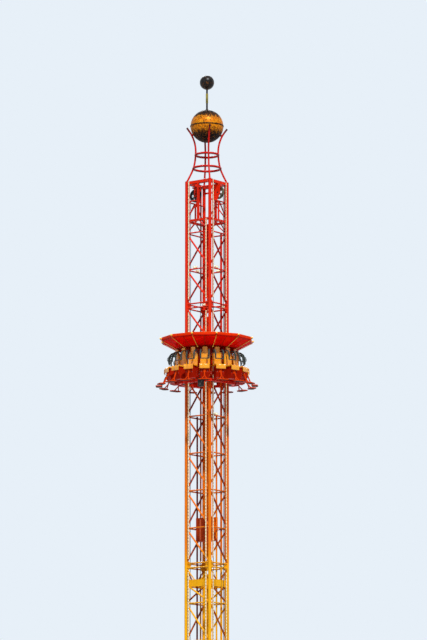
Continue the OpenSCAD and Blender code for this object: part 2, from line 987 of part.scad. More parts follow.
module canopy_panels() {
    color(dark_red)
        around_canopy(0.5)
            translate([panel_in, 0, throat_rise])
                rotate([0, -panel_angle, 0])
                    linear_extrude(panel_t)
                        trapezoid(panel_in, panel_out, norm([panel_out - panel_in, panel_rise])
                            - panel_t * tan(panel_angle), 8);
}

module canopy_rim() {
    color([0.95, 0.24, 0.04])
        around_canopy(0.5)
            translate([rim_r * mid - rim_t, 0, rim_rise])
                linear_extrude(rim_h)
                    trapezoid(rim_r * mid - rim_t, rim_r * mid, rim_t, 2);
}

module canopy_deck() {
    color(tower_red)
        around_canopy(0.5)
            translate([hub_out + 15, 0, deck_z])
                linear_extrude(8)
                    trapezoid(hub_out + 15, panel_out, panel_out - hub_out - 15, 4);
}

// Round hub on the carriage with a rib under every hip of the deck
module canopy_frame() {
    r0 = hub_out - 20;
    r1 = rim_r - (rim_t + 3) / mid;
    function hip(r) = throat_rise + (r - throat_r) * hip_slope + panel_up + 1;
    color(tower_red) {
        translate([0, 0, ride_z + top_ring + carriage_h])
            difference() {
                cylinder(r = hub_out, h = deck_z - fit - top_ring - carriage_h, $fn = 96);
                translate([0, 0, -1])
                    cylinder(r = hub_out - 30, h = deck_z, $fn = 96);
            }
        around_canopy(0)
            across(10)
                polygon([[r0, top_ring + carriage_h + 60], [r0, deck_z - fit],
                    [r1, deck_z - fit], [r1, hip(r1)], [throat_r, hip(throat_r)],
                    [throat_r - 60, hip(throat_r)]]);
    }
}

// Lamp tube under each hip, up past the rim to a bulb, with a smaller bulb at its inner end
module canopy_lights() {
    under = tube_d / 2 + 4;
    r0 = throat_r - 30;
    r1 = rim_r + 22;
    elbow_r = rim_r - 40;
    function low(r) = throat_rise + (r - throat_r) * hip_slope - under / cos(panel_angle);
    color([0.98, 0.80, 0.35])
        around_canopy(0) {
            bent_tube([[r0, low(r0), tube_d / 2], [elbow_r, low(elbow_r), tube_d / 2],
                [r1, low(elbow_r) + 5, tube_d / 2], [r1, rim_rise + rim_h - 70, tube_d / 2]], 8);
            translate([r1, 0, rim_rise + rim_h - 50])
                sphere(d = bulb_d - 50, $fn = 32);
            translate([r1 + 34, 0, rim_rise + rim_h - 40])
                sphere(d = bulb_d, $fn = 32);
            translate([r0 - 20, 0, low(r0) - 8])
                sphere(d = 54, $fn = 32);
        }
}

base_frame();
lower_chords();
middle_chords();
upper_chords();
lower_lattice_x();
lower_lattice_y();
middle_lattice_x();
middle_lattice_y();
upper_lattice_x();
upper_lattice_y();
splice_flanges();
light_strips();
head_frame();
ropes();
counterweight_rails();
floodlights();
cable_duct();
crown();
gold_ball();
ball_band();
finial_rod();
finial_ball();
sheave_right();
sheave_left();
counterweight();
carriage_frame();
guide_rollers();
seat_ring();
seat_pans();
seat_backs();
seat_boxes();
foot_rests();
canopy_frame();
canopy_panels();
canopy_rim();
canopy_deck();
canopy_lights();
control_box();
restraint(1);  // restraint_01
restraint(2);  // restraint_02
restraint(3);  // restraint_03
restraint(4);  // restraint_04
restraint(5);  // restraint_05
restraint(6);  // restraint_06
restraint(7);  // restraint_07
restraint(8);  // restraint_08
restraint(9);  // restraint_09
restraint(10);  // restraint_10
restraint(11);  // restraint_11
restraint(12);  // restraint_12
restraint(13);  // restraint_13
restraint(14);  // restraint_14
restraint(15);  // restraint_15
restraint(16);  // restraint_16
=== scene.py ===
"""Looks of the drop tower ride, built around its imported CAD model. Metres, Z up."""

import math

import bmesh
import bpy
from mathutils import Matrix, Vector, noise


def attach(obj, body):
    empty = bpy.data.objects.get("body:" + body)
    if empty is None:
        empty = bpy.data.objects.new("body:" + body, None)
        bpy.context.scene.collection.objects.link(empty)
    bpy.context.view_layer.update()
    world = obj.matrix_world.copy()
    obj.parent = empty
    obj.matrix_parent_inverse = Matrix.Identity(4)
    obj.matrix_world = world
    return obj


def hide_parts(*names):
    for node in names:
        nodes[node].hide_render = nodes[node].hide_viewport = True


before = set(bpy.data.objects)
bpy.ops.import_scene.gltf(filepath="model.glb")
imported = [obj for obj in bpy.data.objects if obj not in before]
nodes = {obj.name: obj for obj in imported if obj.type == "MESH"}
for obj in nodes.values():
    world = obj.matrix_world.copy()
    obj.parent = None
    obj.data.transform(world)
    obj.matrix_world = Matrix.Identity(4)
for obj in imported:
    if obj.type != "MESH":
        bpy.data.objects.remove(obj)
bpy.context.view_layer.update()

# Places of the frame that the pieces are built on
HALF = 0.670
CHORD_R = 0.075
BAY = 1.708
LOWER_SPLICE, UPPER_SPLICE, LAST_LEVEL = 9, 16, 18
LOWER_JOINT, UPPER_JOINT = LOWER_SPLICE * BAY, UPPER_SPLICE * BAY
HEAD = LAST_LEVEL * BAY
HEAVY = HEAD + 0.578
RAIL = HEAD + 1.493
AXLE_X, AXLE = 0.660, HEAD + 1.893
TOP = HEAD + 2.303
CROWN = TOP + 0.140
BALL_RISE, BALL_R = 2.668, 0.767
BALL = CROWN + BALL_RISE
ROD = BALL + BALL_R + 0.012
ROD_LENGTH, FINIAL_R = 0.972, 0.338
SMALL = ROD + ROD_LENGTH + FINIAL_R
WEIGHT = 16.500
RIDE = 24.410
SEATS = 16
PIVOT_R, PIVOT_RISE = 1.375, 0.600
SIDES = 12
CANOPY_TURN = math.radians(18.75)
RIM_R, PANEL_R = 2.120, 1.400
PANEL_FOOT, PANEL_RISE, RIM_INSET = 0.910, 0.370, 0.0303

# Camera at the photograph's viewing angle
DISTANCE, EYE, LENS = 149.6, 1.5, 185.3
AZIMUTH, PITCH, YAW = 36.95, 9.57, 0.1165


def linked(name, data):
    """A new object in the scene."""
    made = bpy.data.objects.new(name, data)
    bpy.context.scene.collection.objects.link(made)
    return made


camera = linked("camera", bpy.data.cameras.new("camera"))
camera.data.lens = LENS
camera.data.sensor_width = 36
camera.data.clip_end = 1000
turn = math.radians(AZIMUTH)
camera.location = (DISTANCE * math.sin(turn), -DISTANCE * math.cos(turn), EYE)
camera.rotation_euler = (math.radians(90 + PITCH), 0, math.radians(AZIMUTH - YAW))
bpy.context.scene.camera = camera
bpy.context.scene.view_settings.view_transform = "Standard"


# Materials
def linear(color):
    """A colour written in sRGB, as the shader wants it."""
    made = [c / 12.92 if c <= 0.04045 else ((c + 0.055) / 1.055) ** 2.4 for c in color]
    return (*made, 1.0)


def add_node(tree, kind, inputs=(), **settings):
    """A new shader node. An input is a constant or another node's output."""
    made = tree.nodes.new(kind)
    for key, value in settings.items():
        setattr(made, key, value)
    for key, value in dict(inputs).items():
        if isinstance(value, bpy.types.NodeSocket):
            tree.links.new(value, made.inputs[key])
        else:
            made.inputs[key].default_value = value
    return made


class Look:
    """A procedural material, put together from small chains of nodes."""

    def __init__(self, name, rough=0.4, metal=0.0, coat=0.0, gloss=0.5):
        self.material = bpy.data.materials.new(name)
        self.material.use_nodes = True
        self.tree = self.material.node_tree
        self.shader = self.tree.nodes["Principled BSDF"]
        self.set("Roughness", rough)
        self.set("Metallic", metal)
        self.set("Coat Weight", coat)
        self.set("Specular IOR Level", gloss)
        self.place = self.node("ShaderNodeTexCoord").outputs["Object"]

    def set(self, name, value):
        self.shader.inputs[name].default_value = value

    def node(self, kind, inputs=(), **settings):
        return add_node(self.tree, kind, inputs, **settings)

    def noise(self, scale, detail=4.0, stretch=(1, 1, 1), rough=0.55):
        moved = self.node("ShaderNodeMapping", {"Vector": self.place, "Scale": stretch})
        inputs = {"Vector": moved.outputs["Vector"], "Scale": scale, "Detail": detail}
        inputs["Roughness"] = rough
        return self.node("ShaderNodeTexNoise", inputs).outputs["Fac"]

    def part(self, vector, axis):
        return self.node("ShaderNodeSeparateXYZ", {"Vector": vector}).outputs[axis]

    def between(self, value, low, high):
        """0 where the value is low and 1 where it is high."""
        inputs = {"Value": value, "From Min": low, "From Max": high}
        return self.node("ShaderNodeMapRange", inputs).outputs["Result"]

    def height(self, low, high):
        return self.between(self.part(self.place, "Z"), low, high)

    def facing(self, axis, start, full):
        """0 where the surface's normal along the axis is start and 1 at full."""
        normal = self.part(self.node("ShaderNodeTexCoord").outputs["Normal"], axis)
        if start > 0:
            normal = self.maths("ABSOLUTE", normal)
        return self.between(normal, start, full)

    def ramp(self, value, stops):
        """Colours at places 0 to 1; a single number makes a grey."""
        made = self.node("ShaderNodeValToRGB", {"Fac": value})
        points = made.color_ramp.elements
        while len(points) < len(stops):
            points.new(0.5)
        for point, (place, color) in zip(points, stops):
            point.position = place
            grey = isinstance(color, (int, float))
            point.color = (color, color, color, 1) if grey else linear(color)
        return made.outputs["Color"]

    def tones(self, value, first, second, start=0.3, end=0.7):
        return self.ramp(value, [(start, first), (end, second)])

    def spots(self, value, start, full, amount):
        """0 up to the start, and the amount from full on."""
        return self.ramp(value, [(start, 0.0), (full, amount)])

    def mix(self, amount, first, second, blend="MIX"):
        made = self.node("ShaderNodeMix", {"Factor": amount}, data_type="RGBA", blend_type=blend)
        for socket, value in ((made.inputs[6], first), (made.inputs[7], second)):
            if isinstance(value, bpy.types.NodeSocket):
                self.tree.links.new(value, socket)
            else:
                socket.default_value = linear(value)
        return made.outputs[2]

    def stain(self, base, color, noise, start, full, amount):
        """The base with spots of a colour where the noise is high."""
        return self.mix(self.spots(noise, start, full, amount), base, color)

    def maths(self, operation, first, second=0.0):
        made = self.node("ShaderNodeMath", {0: first, 1: second}, operation=operation)
        return made.outputs["Value"]

    def finish(self, color, rough=None, bump=None, strength=0.3, distance=0.004):
        self.tree.links.new(color, self.shader.inputs["Base Color"])
        if rough is not None:
            self.tree.links.new(rough, self.shader.inputs["Roughness"])
        if bump is not None:
            inputs = {"Height": bump, "Strength": strength, "Distance": distance}
            made = self.node("ShaderNodeBump", inputs)
            self.tree.links.new(made.outputs["Normal"], self.shader.inputs["Normal"])
        return self.material


def paint(
    name, color=None, stops=None, dirt=(0.20, 0.06, 0.02), soil=0.4, rough=0.40, gloss=0.16,
    ends=None, under=None, left=None,
):
    """Gloss paint on steel: uneven tint, rain streaks, soiled patches and small chips.
    stops gives colours by height in place of one colour, ends the lighter colour of faces
    towards X as painted light, under the darker colour of undersides as painted shade,
    and left the darker colour of what stands at -X as painted shade."""
    look = Look(name, rough=rough, coat=0.03, gloss=gloss)
    look.set("Coat Roughness", 0.15)
    base = color
    if stops:
        low, high = stops[0][0], stops[-1][0]
        marks = [((z - low) / (high - low), c) for z, c in stops]
        base = look.ramp(look.height(low, high), marks)
    # Painted light: faces towards X take the lighter ends colour.
    if ends:
        base = look.mix(look.facing("X", 0.6, 0.9), base, ends)
    # Painted shade: what stands at -X takes the darker left colour.
    if left:
        base = look.mix(look.maths("LESS_THAN", look.part(look.place, "X"), 0.0), base, left)
    base = look.mix(0.8, base, look.tones(look.noise(2.1, 3), 0.86, 1.0), "MULTIPLY")
    # Painted shade: undersides take the darker under colour.
    if under:
        base = look.mix(look.facing("Z", -0.4, -0.8), base, under)
    base = look.stain(base, dirt, look.noise(9.0, 5, (1, 1, 0.07)), 0.50, 0.78, soil)
    base = look.stain(base, dirt, look.noise(5.5, 6, rough=0.7), 0.60, 0.80, 0.8 * soil)
    chips = look.spots(look.noise(46.0, 3), 0.71, 0.74, 1.0)
    base = look.mix(chips, base, (0.16, 0.10, 0.08))
    uneven = look.tones(look.noise(14.0, 3), rough - 0.08, rough + 0.2)
    skin_bump = look.maths("ADD", look.noise(160.0, 2), look.maths("MULTIPLY", chips, -2.0))
    return look.finish(base, uneven, skin_bump, 0.16, 0.0012)


TOWER_COLORS = [
    (0.0, (0.98, 0.76, 0.06)),
    (15.2, (0.98, 0.70, 0.05)),
    (16.2, (0.95, 0.50, 0.03)),
    (19.5, (0.94, 0.47, 0.03)),
    (22.0, (0.93, 0.43, 0.02)),
    (25.0, (0.94, 0.24, 0.02)),
    (28.0, (0.94, 0.17, 0.02)),
    (36.0, (0.93, 0.14, 0.02)),
]
# Darker copies of the tower colours for the sloping bars of the X faces: painted shade.
SHADED_COLORS = [(z, (0.69 * r, 0.44 * g, 0.5 * b)) for z, (r, g, b) in TOWER_COLORS]
CROWN_COLORS = [
    (CROWN, (0.85, 0.10, 0.04)),
    (CROWN + 2.20, (0.86, 0.08, 0.03)),
    (CROWN + 2.42, (0.50, 0.06, 0.02)),
    (CROWN + 2.60, (0.32, 0.04, 0.02)),
]
RIM_COLORS = [
    (RIDE + 1.270, (0.74, 0.05, 0.01)),
    (RIDE + 1.305, (0.78, 0.06, 0.01)),
    (RIDE + 1.325, (0.94, 0.19, 0.02)),
    (RIDE + 1.430, (0.96, 0.26, 0.03)),
]
# The second and third colours are painted shade for the undersides of the crown and the foot plates.
SOOT, CROWN_SHADE_RED, FOOT_SHADE = (0.03, 0.02, 0.02), (0.42, 0.03, 0.03), (0.30, 0.09, 0.03)
# Tower: the under colour darkens undersides, painted shade.
tower_paint = paint("tower_paint", stops=TOWER_COLORS, under=(0.46, 0.13, 0.03))
shaded_paint = paint("shaded_paint", stops=SHADED_COLORS)
red_paint = paint("red_paint", (0.90, 0.13, 0.02))
dark_red_paint = paint("dark_red_paint", (0.69, 0.12, 0.03), soil=0.3, rough=0.36, gloss=0.03)
# Foot plates: darker undersides, painted shade.
foot_paint = paint("foot_paint", (0.88, 0.26, 0.03), rough=0.55, under=FOOT_SHADE, gloss=0.02)
# Crown: darker undersides, painted shade.
crown_paint = paint(
    "crown_paint", stops=CROWN_COLORS, dirt=(0.22, 0.02, 0.02), soil=0.5, under=CROWN_SHADE_RED
)
# Head frame: a brighter copy of the tower red, painted light, with darker undersides, painted shade.
lit_head_paint = paint("lit_head_paint", (0.99, 0.18, 0.02), soil=0.25, under=(0.50, 0.05, 0.02))
# Rails in the tower colours; the rail at -X takes a dark red, painted shade.
rail_paint_shaded_left = paint("rail_paint_shaded_left", stops=TOWER_COLORS, left=(0.42, 0.06, 0.03))
dark_coat = paint("dark_coat", (0.10, 0.06, 0.05), dirt=SOOT, soil=0.3)
rim_paint = paint("rim_paint", stops=RIM_COLORS, soil=0.25, gloss=0.04)
lip_paint = paint("lip_paint", (0.98, 0.38, 0.05), soil=0.25)
# Counterweight: faces towards X take a lighter orange, painted light.
weight_paint_lit_ends = paint("weight_paint_lit_ends", (0.68, 0.22, 0.03), ends=(0.93, 0.44, 0.05))
cover_paint = paint("cover_paint", (0.98, 0.55, 0.38), soil=0.3)


def panel_look():
    """Glossy dark red sheet with cloudy tones and dust."""
    look = Look("panel_skin", rough=0.3, coat=0.06, gloss=0.0)
    reds = [(0.30, (0.78, 0.01, 0.01)), (0.52, (0.94, 0.03, 0.01)), (0.74, (0.98, 0.15, 0.03))]
    base = look.ramp(look.noise(2.6, 4, rough=0.6), reds)
    base = look.stain(base, (0.84, 0.34, 0.14), look.noise(18.0, 5, rough=0.7), 0.64, 0.84, 0.35)
    rough = look.tones(look.noise(8.0), 0.16, 0.36)
    return look.finish(base, rough, look.noise(5.0, 2), 0.12, 0.006)


def seat_look():
    """Moulded shell: gel coat with fine orange peel, scuffs and dulled patches."""
    look = Look("seat_shell", rough=0.3, coat=0.2)
    base = look.tones(look.noise(4.0, 3), (0.96, 0.60, 0.05), (0.98, 0.68, 0.08))
    scuffs = look.spots(look.noise(26.0, 6, (1, 1, 3), 0.75), 0.60, 0.72, 0.45)
    base = look.mix(scuffs, base, (0.62, 0.38, 0.10))
    base = look.stain(base, (0.42, 0.22, 0.06), look.noise(3.0, 5), 0.58, 0.85, 0.3)
    rough = look.maths("ADD", look.maths("MULTIPLY", scuffs, 0.5), 0.26)
    return look.finish(base, rough, look.noise(220.0, 2), 0.12, 0.001)


def foam_look():
    """Integral skin foam: dark green black, leathery grain and rubbed spots."""
    look = Look("foam_skin", rough=0.62)
    look.set("Sheen Weight", 0.15)
    base = look.tones(look.noise(7.0), (0.07, 0.13, 0.12), (0.11, 0.19, 0.17))
    base = look.stain(base, (0.24, 0.30, 0.27), look.noise(16.0, 5, rough=0.7), 0.60, 0.80, 0.5)
    cells = look.node("ShaderNodeTexVoronoi", {"Vector": look.place, "Scale": 260.0})
    rough = look.tones(look.noise(30.0, 3), 0.50, 0.74)
    return look.finish(base, rough, cells.outputs["Distance"], 0.35, 0.0012)


def metal_look(name, color, dark, rough=0.38):
    """Bare or greased metal with grain, grease and dull spots."""
    look = Look(name, rough=rough, metal=0.9)
    base = look.tones(look.noise(12.0, 5, rough=0.65), dark, color, 0.35, 0.65)
    uneven = look.tones(look.noise(24.0), rough - 0.08, rough + 0.2)
    return look.finish(base, uneven, look.noise(60.0, 3), 0.2, 0.001)


def gilded_look():
    """Gilt sheet with small dark spots; its dark top and underside are painted reflection of sky and
    ground with some tarnish, broken by painted glints.
    """
    look = Look("gilt", rough=0.36, metal=0.15, gloss=0.12)
    golds = [(0.30, (0.82, 0.40, 0.02)), (0.50, (0.95, 0.56, 0.04)), (0.70, (0.98, 0.67, 0.11))]
    gold = look.ramp(look.noise(7.0, 5, rough=0.7), golds)
    level = look.height(BALL - BALL_R, BALL + BALL_R)
    more = look.ramp(level, [(0.25, 0.040), (0.50, 0.008), (0.60, 0.004), (0.80, 0.036)])
    spotted = look.maths("ADD", look.noise(17.0, 8, rough=0.85), more)
    spots = look.spots(spotted, 0.53, 0.56, 1.0)
    ragged = look.maths("SUBTRACT", look.noise(10.0, 7, (1, 1, 0.5), 0.75), 0.5)
    ragged_level = look.maths("ADD", level, look.maths("MULTIPLY", ragged, 0.55))
    # Painted reflection: the dark top and underside stand for sky and ground mirrored in the gilt, with
    # some tarnish.
    below = [(0.20, 1.0), (0.26, 0.9), (0.31, 0.4), (0.35, 0.0)]
    reflection_and_tarnish = look.ramp(ragged_level, below + [(0.72, 0.0), (0.77, 0.9), (0.84, 1.0)])
    glints = look.spots(look.noise(15.0, 7, rough=0.8), 0.57, 0.63, 0.75)
    dark = look.maths("SUBTRACT", look.maths("MAXIMUM", spots, reflection_and_tarnish), glints)
    dark = look.spots(dark, 0.0, 1.0, 1.0)
    base = look.mix(dark, gold, (0.040, 0.018, 0.01))
    rough = look.maths("ADD", look.maths("MULTIPLY", dark, 0.2), 0.40)
    return look.finish(base, rough, look.noise(26.0, 3), 0.25, 0.004)


def bronze_look():
    """Near black bronze with gilt left in patches, most on the lower half."""
    look = Look("dark_bronze", rough=0.3, gloss=0.22)
    cloudy = look.noise(14.0, 5, rough=0.7)
    base = look.tones(cloudy, (0.015, 0.01, 0.01), (0.07, 0.035, 0.015), 0.35, 0.65)
    level = look.height(SMALL - FINIAL_R, SMALL + FINIAL_R)
    more = look.ramp(level, [(0.0, 0.09), (0.40, 0.08), (0.58, 0.0), (0.78, 0.07), (0.95, 0.0)])
    gilded = look.maths("ADD", look.noise(19.0, 7, rough=0.8), more)
    gilded = look.spots(gilded, 0.635, 0.68, 0.8)
    base = look.mix(gilded, base, (0.66, 0.38, 0.05))
    rough = look.tones(gilded, 0.34, 0.5, 0, 1)
    return look.finish(base, rough, look.noise(30.0, 3), 0.3, 0.003)


def rope_look():
    """Greased wire rope: strands wound round it, black grease between them."""
    look = Look("wire_rope", rough=0.5, metal=0.3)
    slope = look.maths("ADD", look.part(look.place, "X"), look.part(look.place, "Y"))
    rise = look.maths("MULTIPLY", look.part(look.place, "Z"), 150.0)
    lay = look.maths("SINE", look.maths("ADD", rise, look.maths("MULTIPLY", slope, 170.0)))
    strand = look.maths("MULTIPLY", look.maths("ADD", lay, 1.0), 0.5)
    greys = [(0.0, (0.02, 0.02, 0.02)), (0.6, (0.16, 0.16, 0.17)), (1.0, (0.26, 0.26, 0.26))]
    strands = look.ramp(strand, greys)
    base = look.stain(strands, (0.05, 0.04, 0.04), look.noise(4.0), 0.45, 0.75, 0.7)
    return look.finish(base, None, lay, 0.8, 0.002)


def plastic_look(name, color, other, rough=0.4, glow=0.0):
    """Moulded plastic with cloudy tint, dust and a fine texture."""
    look = Look(name, rough=rough)
    base = look.tones(look.noise(11.0, 3), color, other)
    base = look.stain(base, (0.45, 0.40, 0.33), look.noise(30.0, 5, rough=0.7), 0.60, 0.80, 0.4)
    if glow:
        look.tree.links.new(base, look.shader.inputs["Emission Color"])
        look.set("Emission Strength", glow)
    uneven = look.tones(look.noise(20.0, 3), rough - 0.06, rough + 0.15)
    return look.finish(base, uneven, look.noise(240.0, 2), 0.1, 0.0008)


panel_skin = panel_look()
seat_skin = seat_look()
foam_skin = foam_look()
gilt = gilded_look()
bronze = bronze_look()
wire = rope_look()
steel = metal_look("greased_steel", (0.42, 0.42, 0.43), (0.14, 0.13, 0.12))
wheel_steel = metal_look("wheel_steel", (0.56, 0.56, 0.44), (0.22, 0.22, 0.16))
# The left sheave takes a darker copy of the wheel steel, painted shade.
wheel_steel_in_shade = metal_look("wheel_steel_in_shade", (0.22, 0.23, 0.24), (0.08, 0.08, 0.09))
brass = metal_look("dull_brass", (0.62, 0.56, 0.24), (0.30, 0.27, 0.11), 0.5)
zinc = metal_look("zinc_bolts", (0.62, 0.60, 0.56), (0.36, 0.33, 0.29), 0.42)
dark_metal = metal_look("dark_metal", (0.13, 0.11, 0.10), (0.05, 0.04, 0.04), 0.4)
roller_tread = plastic_look("roller_tread", (0.30, 0.29, 0.27), (0.20, 0.19, 0.18), 0.55)
lamp_lens = plastic_look("lamp_lens", (1.0, 0.97, 0.84), (0.99, 0.94, 0.76), 0.3, 0.48)
# Floodlight housings glow a little: painted light.
lamp_case_painted_glow = plastic_look("lamp_case_painted_glow", (1.0, 0.98, 0.84), (0.98, 0.94, 0.78), 0.4, 0.40)
bulb_skin = plastic_look("bulb", (1.0, 0.82, 0.36), (0.98, 0.72, 0.22), 0.25, 0.25)
tube_skin = plastic_look("lamp_tube", (0.86, 0.50, 0.10), (0.74, 0.36, 0.06), 0.3)
black_case = plastic_look("black_case", (0.08, 0.08, 0.09), (0.05, 0.05, 0.06), 0.45)

# Looks of the CAD nodes; the rest of the tower has its paint and each restraint its foam
NODE_LOOKS = {
    "light_strips": lamp_lens, "floodlights": lamp_case_painted_glow, "head_frame": lit_head_paint,
    "ropes": wire, "counterweight_rails": rail_paint_shaded_left, "counterweight": weight_paint_lit_ends,
    "sheave_right": wheel_steel, "sheave_left": wheel_steel_in_shade, "gold_ball": gilt,
    "ball_band": dark_metal, "finial_rod": brass, "finial_ball": bronze,
    "carriage_frame": red_paint, "guide_rollers": roller_tread, "seat_ring": dark_red_paint,
    "seat_boxes": dark_red_paint, "seat_pans": seat_skin, "seat_backs": seat_skin,
    "foot_rests": foot_paint, "canopy_frame": red_paint, "canopy_deck": red_paint,
    "canopy_panels": panel_skin, "canopy_rim": rim_paint, "canopy_lights": bulb_skin,
    "control_box": black_case,
}
for name, node in nodes.items():
    usual = foam_skin if name.startswith("restraint") else tower_paint
    node.data.materials.clear()
    node.data.materials.append(NODE_LOOKS.get(name, usual))


# Places, which are matrices, and rows of points
def shift(x, y, z):
    """A place moved from the origin."""
    return Matrix.Translation((x, y, z))


def turned(angle, at=(0, 0, 0)):
    """A place in a frame turned about the tower axis."""
    return Matrix.Rotation(angle, 4, "Z") @ Matrix.Translation(at)


def places(count, first, z=0.0):
    """Frames turned evenly about the tower axis, at a height."""
    return [turned(first + 2 * math.pi * k / count, (0, 0, z)) for k in range(count)]


def grid(xs, ys, zs):
    """Points at all the meetings of three rows of numbers."""
    return [(x, y, z) for x in xs for y in ys for z in zs]


def around(radius, count, z, first=0.0):
    """Points evenly round Z."""
    angles = [first + 2 * math.pi * k / count for k in range(count)]
    return [(radius * math.cos(a), radius * math.sin(a), z) for a in angles]


def circle(radius, sides, squash=1.0):
    """A section for a sweep, narrower one way where it is squashed."""
    return [(x, squash * y) for x, y, z in around(radius, sides, 0)]


def arc(x, z, r, first, last, count):
    """Points of an arc round (x, z), from the first to the last degree."""
    angles = [math.radians(first + (last - first) * k / count) for k in range(count + 1)]
    return [(x + r * math.cos(a), z + r * math.sin(a)) for a in angles]


# Shapes, which are (points, faces)
def skin(rows, sides, closed=False):
    """Faces between rows of points, each row a loop of so many points."""
    faces = []
    for row in range(rows if closed else rows - 1):
        a, b = row * sides, (row + 1) % rows * sides
        for k in range(sides):
            n = (k + 1) % sides
            faces.append([a + k, a + n, b + n, b + k])
    return faces


def ends(rows, sides):
    """The faces that close the first and the last row."""
    return [list(range(sides - 1, -1, -1)), list(range((rows - 1) * sides, rows * sides))]


def hull(points):
    """The convex hull of the points."""
    work = bmesh.new()
    bmesh.ops.convex_hull(work, input=[work.verts.new(p) for p in points])
    bmesh.ops.dissolve_limit(work, angle_limit=0.02, verts=work.verts, edges=work.edges)
    work.verts.index_update()
    made = [v.co.copy() for v in work.verts], [[v.index for v in f.verts] for f in work.faces]
    work.free()
    return made


def block(x, y, z, chamfer=0.004, at=(0, 0, 0)):
    """A chamfered block of size x, y, z round a point."""
    points = []
    for signs in grid((-1, 1), (-1, 1), (-1, 1)):
        for cuts in ((0, 1, 1), (1, 0, 1), (1, 1, 0)):
            sizes = zip(at, signs, (x, y, z), cuts)
            points.append([a + s * (size / 2 - chamfer * cut) for a, s, size, cut in sizes])
    return hull(points)


def lathe(profile, sides, closed=False):
    """A profile of (radius, height) points turned about Z. A radius of 0 is one point,
    and a closed profile joins its last point to its first."""
    points, rows, faces = [], [], []
    for r, z in profile:
        first = len(points)
        points += around(r, sides, z) if r else [(0, 0, z)]
        rows.append(list(range(first, first + sides)) if r else [first] * sides)
    for low, high in zip(rows, rows[1:] + rows[: int(closed)]):
        for k in range(sides):
            n = (k + 1) % sides
            face = list(dict.fromkeys([low[k], low[n], high[n], high[k]]))
            if len(face) > 2:
                faces.append(face)
    return points, faces


def smooth(points, steps=4):
    """More points on a smooth curve through the given ones."""
    made = []
    for i in range(len(points) - 1):
        near = [min(max(k, 0), len(points) - 1) for k in (i - 1, i, i + 1, i + 2)]
        a, b, c, d = (Vector(points[k]) for k in near)
        for k in range(steps):
            t = k / steps
            square, cube = 2 * a - 5 * b + 4 * c - d, 3 * b - a - 3 * c + d
            made.append(0.5 * (2 * b + (c - a) * t + square * t * t + cube * t ** 3))
    made.append(Vector(points[-1]))
    return made


def sweep(path, section, closed=False):
    """A tube along the path. section holds (across, up) points, one list for all path
    points or one list for each."""
    path = [Vector(p) for p in path]
    count = len(path)
    sections = section if isinstance(section[0][0], (tuple, list)) else [section] * count
    sides = len(sections[0])
    points, across = [], None
    for i, p in enumerate(path):
        after = path[(i + 1) % count] if closed else path[min(i + 1, count - 1)]
        before = path[i - 1] if closed else path[max(i - 1, 0)]
        ahead = (after - before).normalized()
        if across is None:
            across = Vector((0, 1, 0)) if abs(ahead.y) < 0.9 else Vector((1, 0, 0))
        across = (across - ahead * across.dot(ahead)).normalized()
        up = ahead.cross(across)
        points += [p + across * u + up * v for u, v in sections[i]]
    return points, skin(count, sides, closed) + ([] if closed else ends(count, sides))


def tube(path, radius, sides=12):
    """A round tube with one radius, or a list of one for each path point."""
    radii = radius if isinstance(radius, list) else [radius] * len(path)
    return sweep(path, [circle(r, sides) for r in radii])


class Shape:
    """A mesh gathered from simple shapes, with a material number for each face."""

    def __init__(self):
        self.points, self.faces, self.numbers = [], [], []

    def add(self, shape, at=None, number=0):
        """number is one for all faces, or a list of one for each."""
        first = len(self.points)
        self.points += [tuple(at @ Vector(p)) if at else tuple(p) for p in shape[0]]
        self.faces += [[first + i for i in f] for f in shape[1]]
        self.numbers += number if isinstance(number, list) else [number] * len(shape[1])

    def join(self, other, at):
        """The whole of another gathered shape, at a place."""
        self.add((other.points, other.faces), at, other.numbers)

    def piece(self, name, body, slot, looks, replaces=(), angle=40):
        mesh = bpy.data.meshes.new(name)
        mesh.from_pydata(self.points, [], self.faces)
        mesh.polygons.foreach_set("material_index", self.numbers)
        work = bmesh.new()
        work.from_mesh(mesh)
        bmesh.ops.recalc_face_normals(work, faces=work.faces)
        work.to_mesh(mesh)
        work.free()
        mesh.shade_smooth()
        mesh.set_sharp_from_angle(angle=math.radians(angle))
        for look in looks if isinstance(looks, list) else [looks]:
            mesh.materials.append(look)
        made = linked(name, mesh)
        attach(made, body)
        if replaces:
            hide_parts(*replaces)
        return made


# Bolts, and the ways in which the heads of bolts and the axes of lathed shapes point
BOLT_PROFILE = [
    (0, -0.002), (0.024, -0.002), (0.024, 0.003), (0.017, 0.003), (0.017, 0.013), (0.014, 0.016),
    (0, 0.016),
]
BOLT = lathe(BOLT_PROFILE, 6)
UPRIGHT = Matrix.Identity(4)
FLIPPED = Matrix.Rotation(math.pi, 4, "X")
OUTWARDS = Matrix.Rotation(math.pi / 2, 4, "X")
INWARDS = Matrix.Rotation(-math.pi / 2, 4, "X")
FORWARD = Matrix.Rotation(math.pi / 2, 4, "Y")
BACKWARD = Matrix.Rotation(-math.pi / 2, 4, "Y")


def repeat(shape, part, place, spots, way=UPRIGHT, number=0):
    """The same part at every spot of a place, turned one way."""
    for spot in spots:
        shape.add(part, place @ shift(*spot) @ way, number)


def bolts(shape, place, spots, way, size):
    """Bolts at the spots of a place, their heads pointing one way."""
    repeat(shape, BOLT, place, spots, way @ Matrix.Scale(size, 4), 1)


# Frames of the tower's faces, the seats, and the corners and middles of the canopy's sides
FACES = places(4, 0)
SEAT_PLACES = places(SEATS, math.pi / SEATS, RIDE)
CORNERS = places(SIDES, CANOPY_TURN, RIDE)
MIDDLES = places(SIDES, CANOPY_TURN + math.pi / SIDES, RIDE)


# Lights, world and floor
def lamp(name, energy, azimuth, elevation, spread):
    """A sun; spread is its width in degrees."""
    made = linked(name, bpy.data.lights.new(name, "SUN"))
    made.data.energy = energy
    made.data.angle = math.radians(spread)
    made.rotation_euler = (math.radians(90 - elevation), 0, math.radians(azimuth))


